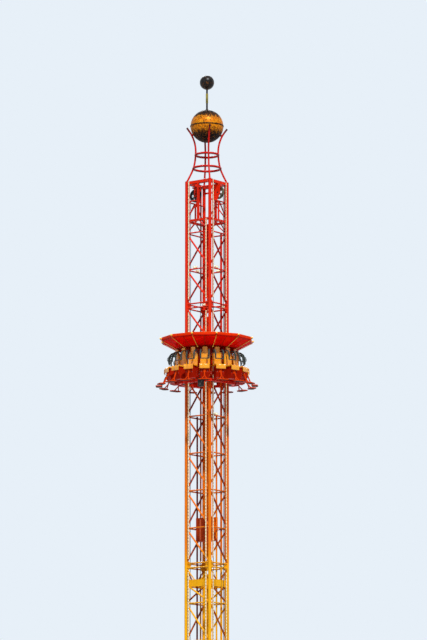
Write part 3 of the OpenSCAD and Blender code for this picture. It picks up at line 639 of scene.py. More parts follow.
lamp("key", 3.3, 54, 50, 3)
lamp("fill", 0.30, -10, 24, 25)
lamp("back", 0.90, 222, 32, 20)

world = bpy.data.worlds.new("studio")
bpy.context.scene.world = world
world.use_nodes = True
sky = world.node_tree
ambient = sky.nodes["Background"]
ambient.inputs["Color"].default_value = (1, 1, 1, 1)
ambient.inputs["Strength"].default_value = 0.15
backdrop = add_node(sky, "ShaderNodeBackground", {"Color": (0.80, 0.87, 0.94, 1)})
ray = add_node(sky, "ShaderNodeLightPath").outputs


def either(first, second):
    """1 for a ray of one kind or the other."""
    made = add_node(sky, "ShaderNodeMath", {0: first, 1: second}, operation="MAXIMUM")
    return made.outputs["Value"]


seen = either(ray["Is Camera Ray"], either(ray["Is Glossy Ray"], ray["Is Transmission Ray"]))
skies = {"Fac": seen, 1: ambient.outputs["Background"], 2: backdrop.outputs["Background"]}
shown = add_node(sky, "ShaderNodeMixShader", skies).outputs["Shader"]
sky.links.new(shown, sky.nodes["World Output"].inputs["Surface"])

FLOOR_R, FLOOR_SIDES = 60, 64
floor_mesh = bpy.data.meshes.new("floor")
floor_mesh.from_pydata(around(FLOOR_R, FLOOR_SIDES, -0.002), [], [tuple(range(FLOOR_SIDES))])
floor = linked("floor", floor_mesh)
ground = Look("pale_floor", rough=0.8)
ground_tones = ground.tones(ground.noise(0.4), (0.86, 0.86, 0.85), (0.90, 0.90, 0.89))
floor_mesh.materials.append(ground.finish(ground_tones))

# Lamp strips: open channels with a row of moulded lens cells
STRIP_FACE = -HALF - 0.0403
STRIP_X = HALF - 0.170
STRIP_GAP = 0.300
CELL = 0.066
CHANNEL = [
    (-0.040, 0.0), (-0.040, -0.035), (-0.034, -0.035), (-0.034, -0.007),
    (0.034, -0.007), (0.034, -0.035), (0.040, -0.035), (0.040, 0.0),
]
channel_ends = [[7, 2, 1, 0], [7, 6, 5, 4], [7, 4, 3, 2]]
channel_ends += [[8 + k for k in reversed(end)] for end in channel_ends]
channel_faces = skin(2, 8) + channel_ends
# The inner walls and floor of a channel take the dark coat, painted shade between the cells.
shaded_channel_numbers = [0, 0, 1, 1, 1, 0, 0, 0] + [0] * len(channel_ends)
cell_rows = ((0.031, 0.020, -0.008), (0.029, 0.018, -0.030), (0.022, 0.012, -0.035))
cell_corners = ((-1, -1), (1, -1), (1, 1), (-1, 1))
cell_points = [(x * w, y, z * h) for w, h, y in cell_rows for x, z in cell_corners]
cell = (cell_points, ends(3, 4) + skin(3, 4))


def strip_runs(face, side):
    """Lower and upper ends of the strips along one chord of a face."""
    last = HEAVY if face % 2 == 0 and side > 0 else CROWN
    return [
        (BAY, LOWER_JOINT - STRIP_GAP),
        (LOWER_JOINT + STRIP_GAP, UPPER_JOINT - STRIP_GAP),
        (UPPER_JOINT + STRIP_GAP, last),
    ]


channels, cells = Shape(), Shape()
for face, place in enumerate(FACES):
    for side in (-1, 1):
        x = side * STRIP_X
        for low, high in strip_runs(face, side):
            points = [(x + u, STRIP_FACE + v, z) for z in (low, high) for u, v in CHANNEL]
            channels.add((points, channel_faces), place, shaded_channel_numbers)
            count = int((high - low) / CELL)
            heights = [low + (k + 0.5) * (high - low) / count for k in range(count)]
            repeat(cells, cell, place, grid([x], [STRIP_FACE], heights))
looks = [tower_paint, dark_coat]
channels.piece("strip_channels", "tower", "strip_cream", looks, ["light_strips"], 30)
cells.piece("strip_cells", "tower", "strip_cream", lamp_lens, angle=50)

# Lattice of round tubes with a weld bead at every chord, gusset plates and beams
FLANGE = 0.100
BEAM = LOWER_JOINT - 0.810
STRUT_R, DIAGONAL_R, BRACE_R = 0.033, 0.040, 0.028


def level(z):
    """A level bar from chord to chord."""
    return (-HALF, z), (HALF, z), STRUT_R


def face_bars():
    """Bars of one face by part: two ends as (across, height), and the radius."""
    bars = {"lower": [], "middle": [], "upper": []}
    for part, first, last, bottom, top in (
        ("lower", 0, LOWER_SPLICE, 0.266, LOWER_JOINT - BAY / 2),
        ("middle", LOWER_SPLICE, UPPER_SPLICE, LOWER_JOINT + FLANGE, UPPER_JOINT - FLANGE),
        ("upper", UPPER_SPLICE, LAST_LEVEL, UPPER_JOINT + FLANGE, HEAD),
    ):
        for k in range(first, last):
            left = top if k + 1 == last else (k + 1) * BAY
            right = bottom if k == first else k * BAY
            bars[part].append(((-HALF, left), (HALF, right), DIAGONAL_R))
            if k > first:
                bars[part].append(level(k * BAY))
    bars["lower"].append(level(LOWER_JOINT - FLANGE))
    bars["middle"] += [level(LOWER_JOINT + FLANGE), level(UPPER_JOINT - FLANGE)]
    bars["upper"] += [level(UPPER_JOINT + FLANGE), level(HEAD)]
    for side in (-1, 1):
        foot = (side * HALF, LOWER_JOINT - FLANGE)
        bars["lower"].append((foot, (side * 0.060, BEAM), BRACE_R))
        foot = (side * HALF, HEAD)
        bars["upper"].append((foot, (side * 0.050, HEAVY - 0.020), BRACE_R))
    return bars


# Further bars in the head, on the faces towards Y and on those towards X
HEAD_BARS = [
    [
        ((-HALF, RAIL), (0, RAIL), STRUT_R),
        ((-HALF, HEAVY + 0.080), (0, RAIL), BRACE_R),
        ((HALF, TOP - 0.200), (0, TOP - 0.200), 0.044),
    ],
    [
        level(RAIL),
        ((-HALF, HEAVY + 0.060), (-0.060, RAIL - 0.010), 0.030),
        ((HALF, HEAVY + 0.060), (0.060, RAIL - 0.010), 0.030),
        ((0, HEAVY), (0, RAIL), 0.040),
    ],
]


def weld(start, end, radius, proud=0.001, bead_r=0.007):
    """The bead round a bar's start, where it meets the chord."""
    side = math.copysign(1, start[0])
    run, rise = end[0] - start[0], end[1] - start[1]
    length = math.hypot(run, rise)
    run, rise = run / length, rise / length
    path = []
    for y, up, z in around(radius + proud, 16, 0):
        x, z = start[0] - rise * up, start[1] + run * up
        face = side * (HALF - math.sqrt((CHORD_R + proud) ** 2 - y * y))
        path.append((face, -HALF + y, z + (face - x) / run * rise))
    return sweep(path, circle(bead_r, 6), closed=True)


def plate(outline, thick, chamfer=0.003):
    """An upright plate of (across, height) corners in a face, its edges chamfered."""
    middle = [sum(p[i] for p in outline) / len(outline) for i in (0, 1)]
    small = []
    for p in outline:
        small.append([v + math.copysign(min(chamfer, abs(m - v)), m - v) for v, m in zip(p, middle)])
    half = thick / 2
    rows = [(small, -half), (outline, chamfer - half), (outline, half - chamfer), (small, half)]
    return hull([(u, v - HALF, z) for row, v in rows for u, z in row])


def add_bars(lattice, bars, place, shaded):
    """Tubes with their weld beads. On shaded faces the sloping ones take painted shade."""
    for start, end, radius in bars:
        sloping = start[0] != end[0] and start[1] != end[1]
        number = 2 if shaded and sloping else 0
        path = [(x, -HALF, z) for x, z in (start, end)]
        lattice.add(tube(path, radius, 16), place, number)
        for a, b in ((start, end), (end, start)):
            if abs(abs(a[0]) - HALF) < 0.001 and abs(a[0] - b[0]) > 0.1:
                lattice.add(weld(a, b, radius), place, number)


def add_gussets(lattice, place, splice, up, thick=0.024):
    """Bolted corner plates of a splice, up being 1 above it and -1 below."""
    foot = splice * BAY + up * 0.025
    for side in (-1, 1):
        corners = ((0.050, 0), (0.245, 0), (0.245, 0.0805), (0.075, 0.230), (0.050, 0.230))
        outline = [(side * (HALF - x), foot + up * z) for x, z in corners]
        lattice.add(plate(outline, thick), place)
        for x, z in ((0.110, 0.150), (0.150, 0.100), (0.205, 0.045)):
            for y, way in ((-thick / 2, OUTWARDS), (thick / 2, INWARDS)):
                bolts(lattice, place, [(side * (HALF - x), y - HALF, foot + up * z)], way, 0.62)


def add_deep_beam(lattice, place):
    """The beam below the lower splice, with flanges, stiffeners and bolts."""
    lattice.add(block(1.200, 0.064, 0.300, 0.004, (0, -HALF, BEAM)), place)
    for side in (-1, 1):
        lattice.add(block(1.200, 0.072, 0.018, 0.003, (0, -HALF, BEAM + side * 0.151)), place)
        for x in (0.30, 0.56):
            lattice.add(block(0.012, 0.070, 0.290, 0.002, (side * x, -HALF, BEAM)), place)
    heights = [BEAM + h for h in (-0.110, -0.040, 0.040, 0.110)]
    bolts(lattice, place, grid((-0.520, 0.520), [-HALF - 0.032], heights), OUTWARDS, 0.6)


def add_head_beam(lattice, place, post):
    """The heavy beam over the head's first bay, and the square post on some faces."""
    lattice.add(block(1.200, 0.072, 0.110, 0.004, (0, -HALF, HEAVY)), place)
    xs, heights = (-0.560, 0.560, -0.090, 0.090), (HEAVY - 0.030, HEAVY + 0.030)
    bolts(lattice, place, grid(xs, [-HALF - 0.036], heights), OUTWARDS, 0.6)
    if post:
        middle = (0, -HALF, (TOP + HEAVY) / 2)
        lattice.add(block(0.100, 0.100, TOP - HEAVY, 0.005, middle), place)


LATTICE = {
    "lower": ("tower_yellow", [(LOWER_SPLICE, -1)]),
    "middle": ("tower_orange", [(LOWER_SPLICE, 1), (UPPER_SPLICE, -1)]),
    "upper": ("tower_red", [(UPPER_SPLICE, 1)]),
}
for part, (slot, gussets) in LATTICE.items():
    lattice = Shape()
    for face, place in enumerate(FACES):
        towards_x = face % 2
        add_bars(lattice, face_bars()[part], place, towards_x)
        for splice, up in gussets:
            add_gussets(lattice, place, splice, up)
        if part == "lower":
            add_deep_beam(lattice, place)
        if part == "upper":
            add_bars(lattice, HEAD_BARS[towards_x], place, towards_x)
            add_head_beam(lattice, place, not towards_x)
    looks = [tower_paint, zinc, shaded_paint]
    replaced = [f"{part}_lattice_x", f"{part}_lattice_y"]
    lattice.piece(f"{part}_tubes", "tower", slot, looks, replaced, 35)

# Splice bolts with a dark parting line, and beads round the feet of the chords
joints = Shape()
splice_spots = [spot for a in (0.118, 0.168, 0.220) for spot in ((a, 0.037), (0.037, a))]
foot_bead = lathe([(0.070, 0.028), (0.088, 0.029), (0.084, 0.036), (0.076, 0.044), (0.070, 0.044)], 32)
for face in FACES:
    joints.add(foot_bead, face @ shift(HALF, HALF, 0))
    for z in (LOWER_JOINT, UPPER_JOINT):
        place = face @ shift(-HALF, -HALF, z)
        bolts(joints, place, [(x, y, 0.025) for x, y in splice_spots], UPRIGHT, 0.75)
        bolts(joints, place, [(x, y, -0.025) for x, y in splice_spots], FLIPPED, 0.75)
        joints.add(block(0.150, 0.002, 0.004, 0.0005, (0.165, 0, 0)), place, 2)
        joints.add(block(0.002, 0.150, 0.004, 0.0005, (0, 0.165, 0)), place, 2)
joints.piece("splice_bolts", "tower", "tower_orange", [tower_paint, zinc, dark_metal])


# Floodlights: finned housing with a rounded hood, a lens and a yoke
def floodlight(w):
    """Housing 0, lens 1, dark metal 2, from the top of its bar, outwards being -Y."""
    made = Shape()
    half, axis = w / 2, 0.052
    profile = [
        (0.036, 0.018), (0.040, 0.040), (0.036, 0.066), (0.020, 0.086),
        (-0.006, 0.096), (-0.030, 0.095), (-0.046, 0.086), (-0.030, 0.008),
    ]
    widths = ((-half, 0.90), (0.010 - half, 1.0), (half - 0.010, 1.0), (half, 0.90))
    made.add(hull([(x, y * s, axis + (z - axis) * s) for x, s in widths for y, z in profile]))
    tilt = shift(0, -0.038, 0.047) @ Matrix.Rotation(math.radians(11.5), 4, "X")
    made.add(block(w - 0.014, 0.006, 0.078, 0.002), tilt, 2)
    made.add(block(w - 0.034, 0.008, 0.060, 0.003, (0, -0.002, 0)), tilt, 1)
    for k in range(int(w / 0.022)):
        x = 0.022 * (k + 1) - half
        if x < half - 0.015:
            made.add(block(0.004, 0.012, 0.044, 0.001, (x, 0.042, 0.044)))
    knob = lathe([(0.010, 0), (0.010, 0.006), (0.006, 0.009), (0, 0.009)], 12)
    for side, way in ((-1, BACKWARD), (1, FORWARD)):
        made.add(block(0.004, 0.024, 0.062, 0.001, (side * (half + 0.003), 0, 0.030)), number=2)
        made.add(knob, shift(side * (half + 0.004), 0, 0.050) @ way, 2)
    made.add(block(w + 0.010, 0.026, 0.004, 0.001, (0, 0, 0.002)), number=2)
    made.add(lathe([(0.011, 0), (0.011, 0.010), (0, 0.010)], 10), shift(0, 0, -0.001), 2)
    return made


LARGE, LITTLE = 0.200, 0.120
BAR_TOP = 0.0325
lights = Shape()
spots = [(face, -0.165, (LAST_LEVEL - 1) * BAY, LARGE) for face in range(4)]
spots += [(face, 0.360, UPPER_JOINT - FLANGE, LITTLE) for face in range(4)]
spots += [(1, -0.200, (UPPER_SPLICE - 3) * BAY, LARGE), (1, 0.300, LOWER_JOINT - FLANGE, LITTLE)]
for face, x, z, w in spots:
    lights.join(floodlight(w), FACES[face] @ shift(x, -HALF, z + BAR_TOP))
looks = [lamp_case_painted_glow, lamp_lens, dark_metal]
lights.piece("floodlight_heads", "tower", "strip_cream", looks, ["floodlights"])

# Duct lids and straps, seen from inside the tower
DUCT_X = 0.370
duct = Shape()
for k in range(1, LAST_LEVEL + 1):
    z = k * BAY
    duct.add(block(0.092, 0.004, 0.034, 0.001, (DUCT_X, HALF - 0.1023, z)), number=1)
    strap_ends = grid((DUCT_X - 0.036, DUCT_X + 0.036), [HALF - 0.1043], [z])
    bolts(duct, UPRIGHT, strap_ends, OUTWARDS, 0.34)
    duct.add(block(0.070, 0.003, BAY - 0.060, 0.001, (DUCT_X, HALF - 0.1015, z - BAY / 2)))
duct.piece("duct_lids", "tower", "dark_red", [tower_paint, zinc])

# Sheave hubs with their bolts and spokes
hub_ring = lathe([(0.0305, 0.047), (0.062, 0.047), (0.062, 0.050), (0.056, 0.054), (0.0305, 0.054)], 32)
spoke = block(0.140, 0.012, 0.010, 0.002, (0.175, 0, 0.0125))
for body, side in (("sheave_right", 1), ("sheave_left", -1)):
    hub = Shape()
    for way in (OUTWARDS, INWARDS):
        place = shift(side * AXLE_X, 0, AXLE) @ way
        hub.add(hub_ring, place)
        bolts(hub, place, around(0.048, 6, 0.053), UPRIGHT, 0.26)
        for turn_to in places(5, math.pi / 5):
            hub.add(spoke, place @ turn_to)
    hub.piece(f"{body}_hub", body, "steel", [steel, zinc])

# Keeper caps and bolts on the cheeks, bolts and seams at the top frame
caps = Shape()
keeper = lathe([(0, 0.0742), (0.036, 0.0742), (0.036, 0.079), (0.030, 0.082), (0, 0.082)], 28)
cheek_spots = grid((0.450, 0.530, 0.610, 0.690, 0.770), [-0.0740], [TOP - 0.035])
cheek_spots += [(0.452, -0.0740, RAIL + h) for h in (0.110, 0.230, 0.350)]
for face in FACES[::2]:
    for way in (OUTWARDS, INWARDS):
        place = face @ shift(AXLE_X, 0, AXLE) @ way
        caps.add(keeper, place, 2)
        bolts(caps, place, around(0.026, 4, 0.0815, math.pi / 4), UPRIGHT, 0.2)
    bolts(caps, face, cheek_spots, OUTWARDS, 0.5)
for face in FACES:
    place = face @ shift(0, -HALF, TOP)
    xs = (-0.560, -0.520, 0.520, 0.560)
    bolts(caps, place, grid(xs, [-0.040], (0.035, 0.105)), OUTWARDS, 0.55)
    for z in (0.006, 0.134):
        caps.add(block(1.190, 0.006, 0.010, 0.002, (0, -0.0402, z)), place)
caps.piece("head_bolts", "tower", "tower_red", [tower_paint, zinc, dark_metal])

# Counterweight: plate seams, pale cover strips and tie bolts
stack = Shape()
place = shift(0, 0, WEIGHT)
for side, way in ((-1, OUTWARDS), (1, INWARDS)):
    for k in range(1, 10):
        seam = block(0.800, 0.002, 0.004, 0.0005, (0, side * 0.1752, 0.107 * k))
        stack.add(seam, place, 2)
    for x in (-0.240, 0.240):
        stack.add(block(0.056, 0.005, 0.970, 0.001, (x, side * 0.1885, 0.535)), place, 3)
    heights = (0.080, 0.380, 0.690, 0.990)
    bolts(stack, place, grid((-0.240, 0.240), [side * 0.191], heights), way, 0.5)
    for z, end_way in ((1.070, UPRIGHT), (0, FLIPPED)):
        bolts(stack, place, grid((-0.1815, 0.1815), [side * 0.110], [z]), end_way, 1.1)
looks = [weight_paint_lit_ends, zinc, dark_metal, cover_paint]
stack.piece("weight_plates", "counterweight", "tower_orange", looks)

# Roller caps, ear rings and corner bolts of the carriage
running = Shape()
pin_cap = lathe([(0, 0.062), (0.026, 0.062), (0.026, 0.068), (0.018, 0.074), (0, 0.074)], 20)
ear_ring = lathe([(0.0205, 0.045), (0.052, 0.045), (0.048, 0.049), (0.0205, 0.049)], 24)
roller_spots = grid((-HALF, HALF), [-(HALF + CHORD_R + 0.0904)], (RIDE - 0.640, RIDE + 0.545))
corner_xs = (-0.700, -0.520, -0.300, 0.300, 0.520, 0.700)
corner_lip = block(0.086, 0.008, 0.006, 0.002)
for face in FACES:
    for way in (BACKWARD, FORWARD):
        repeat(running, pin_cap, face, roller_spots, way, 1)
        repeat(running, ear_ring, face, roller_spots, way, 1)
    for z in (-0.640, -0.340, 0.500):
        place = face @ shift(0, -1.040, RIDE + z)
        bolts(running, place, grid(corner_xs, [0], (-0.035, 0.035)), OUTWARDS, 0.55)
        repeat(running, corner_lip, place, grid((-0.610, 0.610), [0.009], (-0.062, 0.062)))
running.piece("carriage_bolts", "gondola", "tower_red", [red_paint, zinc])

# Ring and lug bolts behind the seats
lugs = Shape()
lug_cap = lathe([(0, 0.0), (0.024, 0.0), (0.024, 0.005), (0.019, 0.009), (0, 0.009)], 20)
ring_spots = grid([1.370], [0], (-0.375, -0.305, 0.465, 0.535))
for place in SEAT_PLACES:
    for side, way in ((-1, OUTWARDS), (1, INWARDS)):
        lugs.add(lug_cap, place @ shift(PIVOT_R, side * 0.239, PIVOT_RISE) @ way, 1)
    bolts(lugs, place @ turned(math.pi / SEATS), ring_spots, FORWARD, 0.6)
lugs.piece("ring_bolts", "gondola", "dark_red", [dark_red_paint, zinc])

# Control box: door, hinges, latch, vents and cable glands, from the middle of its front
box = Shape()
front = shift(0.500, -1.190, RIDE - 0.750)
box.add(block(0.236, 0.008, 0.372, 0.003, (0, -0.003, 0)), front)
box.add(block(0.210, 0.004, 0.346, 0.003, (0, -0.008, 0)), front)
for z in (-0.130, 0.130):
    hinge = tube([(-0.122, -0.006, z - 0.025), (-0.122, -0.006, z + 0.025)], 0.007, 10)
    box.add(hinge, front, 1)
box.add(block(0.016, 0.014, 0.050, 0.003, (0.098, -0.012, 0)), front, 1)
vent_spots = [(0, -0.010, 0.014 * k - 0.130) for k in range(6)]
repeat(box, block(0.120, 0.006, 0.005, 0.001), front, vent_spots, number=1)
gland = lathe([(0.016, 0), (0.016, 0.012), (0.011, 0.020), (0.007, 0.028), (0, 0.028)], 12)
repeat(box, gland, front, grid((-0.070, 0, 0.070), [0.075], [-0.200]), FLIPPED, 1)
box.piece("control_box_door", "gondola", "black_plastic", [black_case, zinc])

# Seam covers and bolts on the canopy's deck, and the rim of its hub
cover = Shape()
seam = block(0.900, 0.034, 0.004, 0.001, (1.560, 0, 1.4095))
seam_spots = grid((1.16, 1.38, 1.60, 1.82, 1.98), [0], [1.4115])
for place in CORNERS:
    cover.add(seam, place)
    bolts(cover, place, seam_spots, UPRIGHT, 0.45)
for place in MIDDLES:
    bolts(cover, place, grid([1.100], (-0.20, 0, 0.20), [1.408]), UPRIGHT, 0.5)
hub_rim = [
    (1.060, 1.392), (1.066, 1.400), (1.066, 1.412), (1.056, 1.418),
    (1.040, 1.418), (1.034, 1.412), (1.034, 1.392),
]
cover.add(lathe(hub_rim, 96, closed=True), shift(0, 0, RIDE))
cover.piece("deck_covers", "gondola", "tower_red", [red_paint, zinc])

# Crown of smooth bent tubes round the large ball
LEG_FOOT = 0.920
HOOPS = ((0.630, 0.660), (0.530, 1.300))
LEG_BENDS = [(LEG_FOOT, 0, 0.020)] + [(r, 0, z) for r, z in HOOPS]
LEG_BENDS += [(0.560, 0, 1.780), (0.710, 0, 2.210), (0.930, 0, 2.540)]


def along(direction):
    """Z turned to the direction."""
    return direction.to_track_quat("Z", "Y").to_matrix().to_4x4()


crown = Shape()
leg = smooth(LEG_BENDS, 6)
leg_cap = lathe(
    [(0, -0.01), (0.048, -0.01), (0.048, 0.008), (0.040, 0.022), (0.018, 0.030), (0, 0.031)], 20
)
collar = lathe([(0.040, 0.014), (0.060, 0.014), (0.045, 0.036)], 20)
pad_profile = [(0.058, 0.7673), (0.058, 0.776), (0.047, 0.782), (0.047, 0.845)]
pad = lathe([(0, 0.7673)] + pad_profile + [(0, 0.845)], 24)
to_pad = along(Vector((0.710, 0, 2.210 - BALL_RISE)))
for place in places(4, math.pi / 4, CROWN):
    foot = place @ shift(LEG_FOOT, 0, 0)
    crown.add(tube(leg, 0.0425, 20), place)
    crown.add(leg_cap, place @ shift(*leg[-1]) @ along(leg[-1] - leg[-2]), 2)
    crown.add(block(0.160, 0.160, 0.014, 0.003, (0, 0, 0.007)), foot)
    crown.add(collar, foot)
    bolts(crown, foot, grid((-0.066, 0.066), (-0.066, 0.066), [0.014]), UPRIGHT, 0.55)
    crown.add(pad, place @ shift(0, 0, BALL_RISE) @ to_pad)
for r, z in HOOPS:
    crown.add(sweep(around(r, 96, z), circle(0.0525, 20), closed=True), shift(0, 0, CROWN))
looks = [crown_paint, zinc, dark_coat]
crown.piece("crown_tubes", "tower", "tower_red", looks, ["crown"])


# Large ball of gores with an edge seam, its band, the rod and the small ball
def seamed_ball(radius, gores, rings, groove, dent, columns, rows):
    """A sphere of sheet panels: shallow grooves along the seams and slight dents."""
    points, faces = [(0, 0, -radius)], []
    for j in range(1, rows):
        polar = math.pi * j / rows - math.pi / 2
        out, up = math.cos(polar), math.sin(polar)
        for i in range(columns):
            a = 2 * math.pi * i / columns
            unit = Vector((math.cos(a) * out, math.sin(a) * out, up))
            apart = abs((i * gores / columns + 0.5) % 1 - 0.5) / gores * 2 * math.pi
            near = min([apart * out] + [abs(polar - ring) for ring in rings]) * radius
            depth = groove * max(0.0, 1 - near / 0.012)
            wave = dent * noise.noise(unit * 3.1) + dent * 0.5 * noise.noise(unit * 7.3)
            points.append(tuple(unit * (radius - depth + wave - dent)))
    points.append((0, 0, radius))
    last, top = len(points) - 1, 1 + (rows - 2) * columns
    for i in range(columns):
        n = (i + 1) % columns
        faces += [[0, 1 + n, 1 + i], [top + i, top + n, last]]
    faces += [[1 + i for i in face] for face in skin(rows - 1, columns)]
    return points, faces


ball = Shape()
seams = (math.radians(-45), math.radians(45))
ball_place = turned(math.radians(15), (0, 0, BALL))
ball.add(seamed_ball(BALL_R, 12, seams, 0.005, 0.003, 240, 120), ball_place)
ball_cap = [(0, 0.727), (0.0825, 0.727), (0.0825, 0.771), (0.074, 0.779), (0, 0.779)]
ball.add(lathe(ball_cap, 40), shift(0, 0, BALL))
ball.piece("gold_ball_skin", "tower", "gold_paint", gilt, ["gold_ball"], 60)

band = Shape()
band_profile = [
    (0.764, -0.0225), (0.779, -0.0225), (0.7833, -0.016),
    (0.7833, 0.016), (0.779, 0.0225), (0.764, 0.0225),
]
band.add(lathe(band_profile, 120, closed=True), shift(0, 0, BALL))
band_rivet = lathe([(0.008, 0), (0.007, 0.004), (0.003, 0.006), (0, 0.006)], 8)
for place in places(36, 0, BALL):
    band.add(band_rivet, place @ shift(0.7828, 0, 0) @ FORWARD)
band.piece("ball_seam_band", "tower", "dark_paint", dark_metal, ["ball_band"])

rod = Shape()
ROD_R = 0.0425
foot = [(0, 0), (0.0725, 0), (0.0725, 0.010), (0.066, 0.014), (ROD_R, 0.020), (ROD_R, 0.324), (0, 0.324)]
sleeve = [(0, 0.322), (0.0500, 0.326), (0.0545, 0.334), (0.0545, 0.768), (0.0500, 0.774), (0, 0.778)]
rod_top = [(0, 0.776), (ROD_R, 0.776), (ROD_R, ROD_LENGTH), (0, ROD_LENGTH)]
place = shift(0, 0, ROD)
for profile, number in ((foot, 2), (sleeve, 0), (rod_top, 2)):
    rod.add(lathe(profile, 40), place, number)
bolts(rod, place, around(0.058, 6, 0.011), UPRIGHT, 0.55)
rod.piece("rod_and_sleeve", "tower", "brass", [brass, zinc, dark_coat], ["finial_rod"])

small = Shape()
small.add(seamed_ball(FINIAL_R, 8, (0.0,), 0.004, 0.002, 144, 72), shift(0, 0, SMALL))
socket = lathe([(0, 0), (0.0525, 0), (0.0525, 0.024), (0.047, 0.034), (0, 0.034)], 32)
small.add(socket, shift(0, 0, ROD + ROD_LENGTH))
small.piece("finial_skin", "tower", "bronze_paint", bronze, ["finial_ball"], 60)


# Moulded seat pans: leg hollows, a hump between the legs and raised sides
def step(low, high, value):
    """0 below low, 1 above high, and a smooth rise between."""
    t = min(1.0, max(0.0, (value - low) / (high - low)))
    return t * t * (3 - 2 * t)


def bump(value, middle, width):
    """1 at the middle, falling away smoothly on both sides."""
    return math.exp(-(((value - middle) / width) ** 2))


def seat_pan():
    """A shell of side outlines from one edge to the other, shaped by the sitter's legs."""
    top = [(1.4003, 0.0), (1.44, -0.001), (1.49, -0.003), (1.54, -0.011), (1.60, -0.018)]
    top += [(1.67, -0.020), (1.74, -0.020), (1.81, -0.016)] + arc(1.880, -0.080, 0.080, 96, 0, 9)
    top += [(1.960, -0.130), (1.960, -0.180), (1.960, -0.222), (1.955, -0.230)]
    under = [(1.935, -0.230), (1.928, -0.222), (1.928, -0.150)]
    under += arc(1.880, -0.080, 0.048, 0, 84, 5)
    under += [(1.810, -0.060), (1.600, -0.060), (1.4003, -0.060)]
    stations = [-0.230 + 0.460 * k / 28 for k in range(29)]
    points = []
    for u in stations:
        raised = 0.018 * step(0.165, 0.222, abs(u))
        hollow = 0.012 * bump(abs(u), 0.100, 0.055)
        drawn = 0.014 * (1 - bump(u, 0, 0.05)) * bump(abs(u), 0.10, 0.07)
        for x, z in top:
            hump = 0.014 * bump(u, 0, 0.035) * step(1.66, 1.80, x)
            on_top = step(1.42, 1.50, x) * step(-0.16, -0.06, z)
            front = step(1.93, 1.958, x)
            points.append((x - front * drawn, u, z + on_top * (raised - hollow + hump)))
        points += [(x, u, z) for x, z in under]
    rows, sides = len(stations), len(top) + len(under)
    return points, skin(rows, sides) + ends(rows, sides)


def offset(outline, inset):
    """A closed outline moved inwards by the inset."""
    made = []
    for i, p in enumerate(outline):
        before, after = outline[i - 1], outline[(i + 1) % len(outline)]
        dx, dy = after[0] - before[0], after[1] - before[1]
        length = math.hypot(dx, dy) or 1
        made.append((p[0] - dy / length * inset, p[1] + dx / length * inset))
    return made


def seat_back():
    """A shell of offset outlines: a wide back with round shoulders under a headrest."""
    w, shoulder = 0.220, 0.580
    right = [(w, z) for z in (0.010, 0.12, 0.25, 0.38, 0.46)]
    right += arc(w - 0.090, shoulder - 0.090, 0.090, 0, 72, 6)
    right += [(0.128, 0.612), (0.114, 0.660), (0.111, 0.72), (0.110, 0.78)]
    right += arc(0.070, 0.810, 0.040, 0, 90, 5) + [(0.035, 0.852)]
    outline = [(w - 0.008, 0.0005)] + right + [(0, 0.853)]
    outline += [(-y, z) for y, z in reversed(right)] + [(-(w - 0.008), 0.0005)]
    outline += [(-0.1, 0.0003), (0, 0.0003), (0.1, 0.0003)]
    rings = [(1.4000, 0.004), (1.4040, 0.0), (1.4480, 0.0), (1.4570, 0.004)]
    rings += [(1.4600, 0.012), (1.4600, 0.026), (1.4530, 0.032), (1.4450, 0.036)]
    points = [(x, y, z) for x, inset in rings for y, z in offset(outline, inset)]
    n, top = len(outline), len(right) + 1
    faces = skin(len(rings), n)
    for first in (0, (len(rings) - 1) * n):
        for k in range(top):
            strip = [k, k + 1, 2 * top - 1 - k, 2 * top - k]
            faces.append([first + i for i in dict.fromkeys(strip)])
        faces.append([first + i for i in (0, 2 * top, n - 3, n - 2, n - 1)])
    return points, faces


pans, backs, fittings, treads = Shape(), Shape(), Shape(), Shape()
pan_shape, back_shape = seat_pan(), seat_back()
lid_rows = ((0, 0.165, 0.145), (0.006, 0.1551, 0.1363))
lid = hull([spot for x, y, z in lid_rows for spot in grid([x], (-y, y), (-z, z))])
slat = block(0.010, 0.220, 0.010, 0.002)
slat_spots = [(1.857, 0, -0.145 - 0.022 * k) for k in range(4)]
tread = block(0.230, 0.012, 0.006, 0.002)
tread_spots = [(2.200, 0.062 * k, -0.758) for k in range(-3, 4)]
lid_spots = grid([1.855], (-0.145, 0.145), (-0.115, -0.355))
back_spots = grid([1.3985], (-0.0319, 0.0319), (-0.38, 0.47, 0.55))
for place in SEAT_PLACES:
    pans.add(pan_shape, place)
    backs.add(back_shape, place)
    fittings.add(lid, place @ shift(1.850, 0, -0.235))
    repeat(fittings, slat, place, slat_spots)
    bolts(fittings, place, lid_spots, FORWARD, 0.6)
    bolts(fittings, place, back_spots, BACKWARD, 0.5)
    repeat(treads, tread, place, tread_spots)
shells = [
    pans.piece("seat_shells", "gondola", "seat_yellow", seat_skin, ["seat_pans"]),
    backs.piece("back_shells", "gondola", "seat_yellow", seat_skin, ["seat_backs"]),
]
for made in shells:
    rounding = made.modifiers.new("rounding", "BEVEL")
    rounding.width, rounding.segments, rounding.limit_method = 0.006, 2, "ANGLE"
    rounding.angle_limit = math.radians(50)
fittings.piece("housing_fittings", "gondola", "dark_red", [dark_red_paint, zinc])
treads.piece("foot_plate_ribs", "gondola", "tower_red", foot_paint)

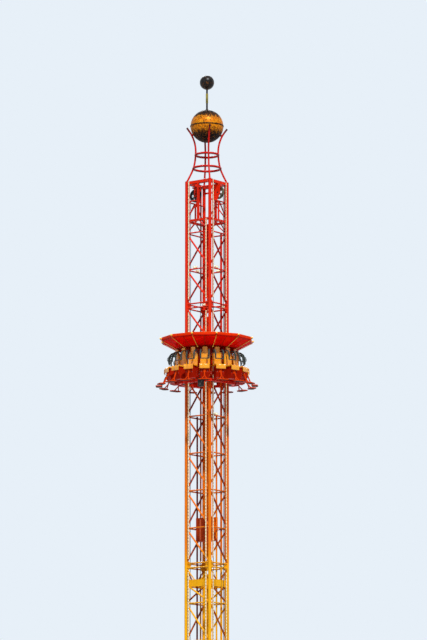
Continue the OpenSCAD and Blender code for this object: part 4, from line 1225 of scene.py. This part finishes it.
# Restraints: steel arms in thick moulded foam, with a lap roll and two hand grips
ARM = [
    (0, 0, 0), (0.035, 0, 0.045), (0.110, 0, 0.085), (0.215, 0, 0.090), (0.295, 0, 0.040),
    (0.345, 0, -0.060), (0.365, 0, -0.200), (0.365, 0, -0.330), (0.362, 0, -0.360),
]
FOAM_RADII = [0.018, 0.019, 0.026, 0.029, 0.035, 0.040, 0.040, 0.031, 0.020]
GRIP = [
    (0.372, 0, -0.070), (0.412, 0, -0.082), (0.428, 0, -0.112),
    (0.430, 0, -0.165), (0.418, 0, -0.205), (0.374, 0, -0.222),
]
ROLL = [
    (0, 0.023), (0.084, 0.023), (0.088, 0.0205), (0.092, 0.023),
    (0.172, 0.023), (0.180, 0.021), (0.188, 0.016),
]
BARE_STEPS, FOAM_START, ARM_STEPS, SEAMS = 14, 8, 6, (10, 28)


def foam_sections(count):
    """Sections of an arm's foam: tapered ends and two pinched seams."""
    sections = []
    for k in range(count):
        at = (k + FOAM_START) / ARM_STEPS
        i = min(int(at), 7)
        radius = FOAM_RADII[i] + (FOAM_RADII[i + 1] - FOAM_RADII[i]) * (at - i)
        taper = min(1.0, 0.72 + 0.14 * min(k, count - 1 - k))
        seam = 0.93 if k in SEAMS else 1.0
        sections.append(circle(radius * taper * seam, 18, 0.92))
    return sections


def harness():
    """Foam 0 and steel 1, from the middle of its shaft."""
    made = Shape()
    made.add(tube([(0, -0.238, 0), (0, 0.238, 0)], 0.015, 20), number=1)
    line = smooth(ARM, ARM_STEPS)
    foam = line[FOAM_START:]
    bush = lathe([(0.0152, -0.022), (0.030, -0.022), (0.030, 0.022), (0.0152, 0.022)], 20)
    for side in (-1, 1):
        place = shift(0, side * 0.190, 0)
        made.add(tube(line[:BARE_STEPS], 0.018, 14), place, 1)
        made.add(sweep(foam, foam_sections(len(foam))), place)
        made.add(bush, place @ OUTWARDS, 1)
        made.add(tube(smooth(GRIP, 4), 0.012, 12), place)
    roll = [(-y, r) for y, r in reversed(ROLL)] + ROLL[1:]
    made.add(tube([(0.365, y, -0.335) for y, r in roll], [r for y, r in roll], 20))
    return made


pad_and_arms = harness()
for number, place in enumerate(SEAT_PLACES, 1):
    one = Shape()
    one.join(pad_and_arms, place @ shift(PIVOT_R, 0, PIVOT_RISE))
    name, body = f"harness_{number:02d}", f"restraint_{number:02d}"
    made = one.piece(name, body, "restraint_foam", [foam_skin, steel], [body], 50)

# Run of the canopy's panels, and the slope of the hips and of the lamp tubes under them
SIDE_COS = math.cos(math.pi / SIDES)
PANEL_RUN = RIM_R * SIDE_COS - RIM_INSET - PANEL_R * SIDE_COS
HIP_SLOPE = PANEL_RISE / PANEL_RUN * SIDE_COS
LAMP_DROP = 0.0183


def hip_height(r):
    """Height of a lamp tube under the hip at a distance from the axis."""
    return PANEL_FOOT + (r - PANEL_R) * HIP_SLOPE - LAMP_DROP


# Lamp tubes with small domes, a bulb at each end and a larger one outside the rim
lamps = Shape()
bulb = lathe([(0.022, -0.045), (0.024, -0.038)] + arc(0, 0, 0.0445, -55, 80, 12) + [(0, 0.0445)], 24)
socket = lathe([(0, -0.060), (0.018, -0.060), (0.026, -0.054), (0.026, -0.034), (0, -0.034)], 20)
small_bulb = lathe(arc(0, 0, 0.026, -85, 85, 10), 20)
dome = lathe([(0, 0.0), (0.015, 0.0)] + arc(0, 0.002, 0.015, 0, 70, 3) + [(0, 0.017)], 10)
INNER, OUTER = 1.370, 2.080
inner_z, outer_z = hip_height(INNER), hip_height(OUTER)
line = [(INNER, 0, inner_z), (OUTER, 0, outer_z), (2.128, 0, outer_z + 0.001)]
line += [(2.140, 0, outer_z + 0.010), (2.142, 0, outer_z + 0.030), (2.142, 0, 1.350)]
down = Matrix.Rotation(math.pi - math.atan(HIP_SLOPE), 4, "Y")
for place in CORNERS:
    lamps.add(tube(line, 0.012, 10), place, 1)
    for k in range(13):
        r = PANEL_R + 0.055 * k
        lamps.add(dome, place @ shift(r, 0, hip_height(r) - 0.008) @ down)
    for shape, x, z, number in (
        (bulb, 2.176, 1.380, 0),
        (socket, 2.176, 1.380, 2),
        (small_bulb, 2.142, 1.370, 0),
        (small_bulb, 1.350, inner_z - 0.008, 0),
    ):
        lamps.add(shape, place @ shift(x, 0, z), number)
    lamps.add(block(0.050, 0.020, 0.012, 0.003, (2.160, 0, 1.330)), place, 2)
    lamps.add(block(0.026, 0.034, 0.024, 0.003, (2.131, 0, 1.345)), place, 2)
    for r in (1.450, 1.750, 2.030):
        clip = block(0.024, 0.006, 0.034, 0.001, (r, 0, hip_height(r) + 0.012))
        lamps.add(clip, place, 2)
looks = [bulb_skin, tube_skin, dark_metal]
lamps.piece("hip_lamps", "gondola", "bulb_amber", looks, ["canopy_lights"])

# Rim lips and rivets, and panel battens
trim = Shape()
for z, radius, inset, number in ((1.280, 0.010, 0.012, 0), (1.420, 0.012, 0.014, 1)):
    path = around(RIM_R - inset, SIDES, RIDE + z, CANOPY_TURN)
    trim.add(sweep(path, circle(radius, 12), closed=True), number=number)
rivet = lathe([(0.009, -0.001), (0.008, 0.003), (0.004, 0.005), (0, 0.005)], 8)
rivet_spots = grid([RIM_R * SIDE_COS], (-0.42, -0.21, 0, 0.21, 0.42), (1.306, 1.394))
for place in MIDDLES:
    repeat(trim, rivet, place, rivet_spots, FORWARD)
trim.piece("rim_trim", "gondola", "rim_red", [rim_paint, lip_paint])

battens = Shape()
tilt = Matrix.Rotation(-math.atan2(PANEL_RISE, PANEL_RUN), 4, "Y")
length = math.hypot(PANEL_RISE, PANEL_RUN)
for middle in MIDDLES:
    place = middle @ shift(PANEL_R * SIDE_COS, 0, PANEL_FOOT) @ tilt
    battens.add(block(length - 0.06, 0.036, 0.006, 0.002, (length / 2, 0, -0.003)), place)
    for x, w in ((0.030, 0.66), (length - 0.030, 1.00)):
        battens.add(block(0.030, w, 0.006, 0.002, (x, 0, -0.003)), place)
battens.piece("panel_battens", "gondola", "dark_red", dark_red_paint)
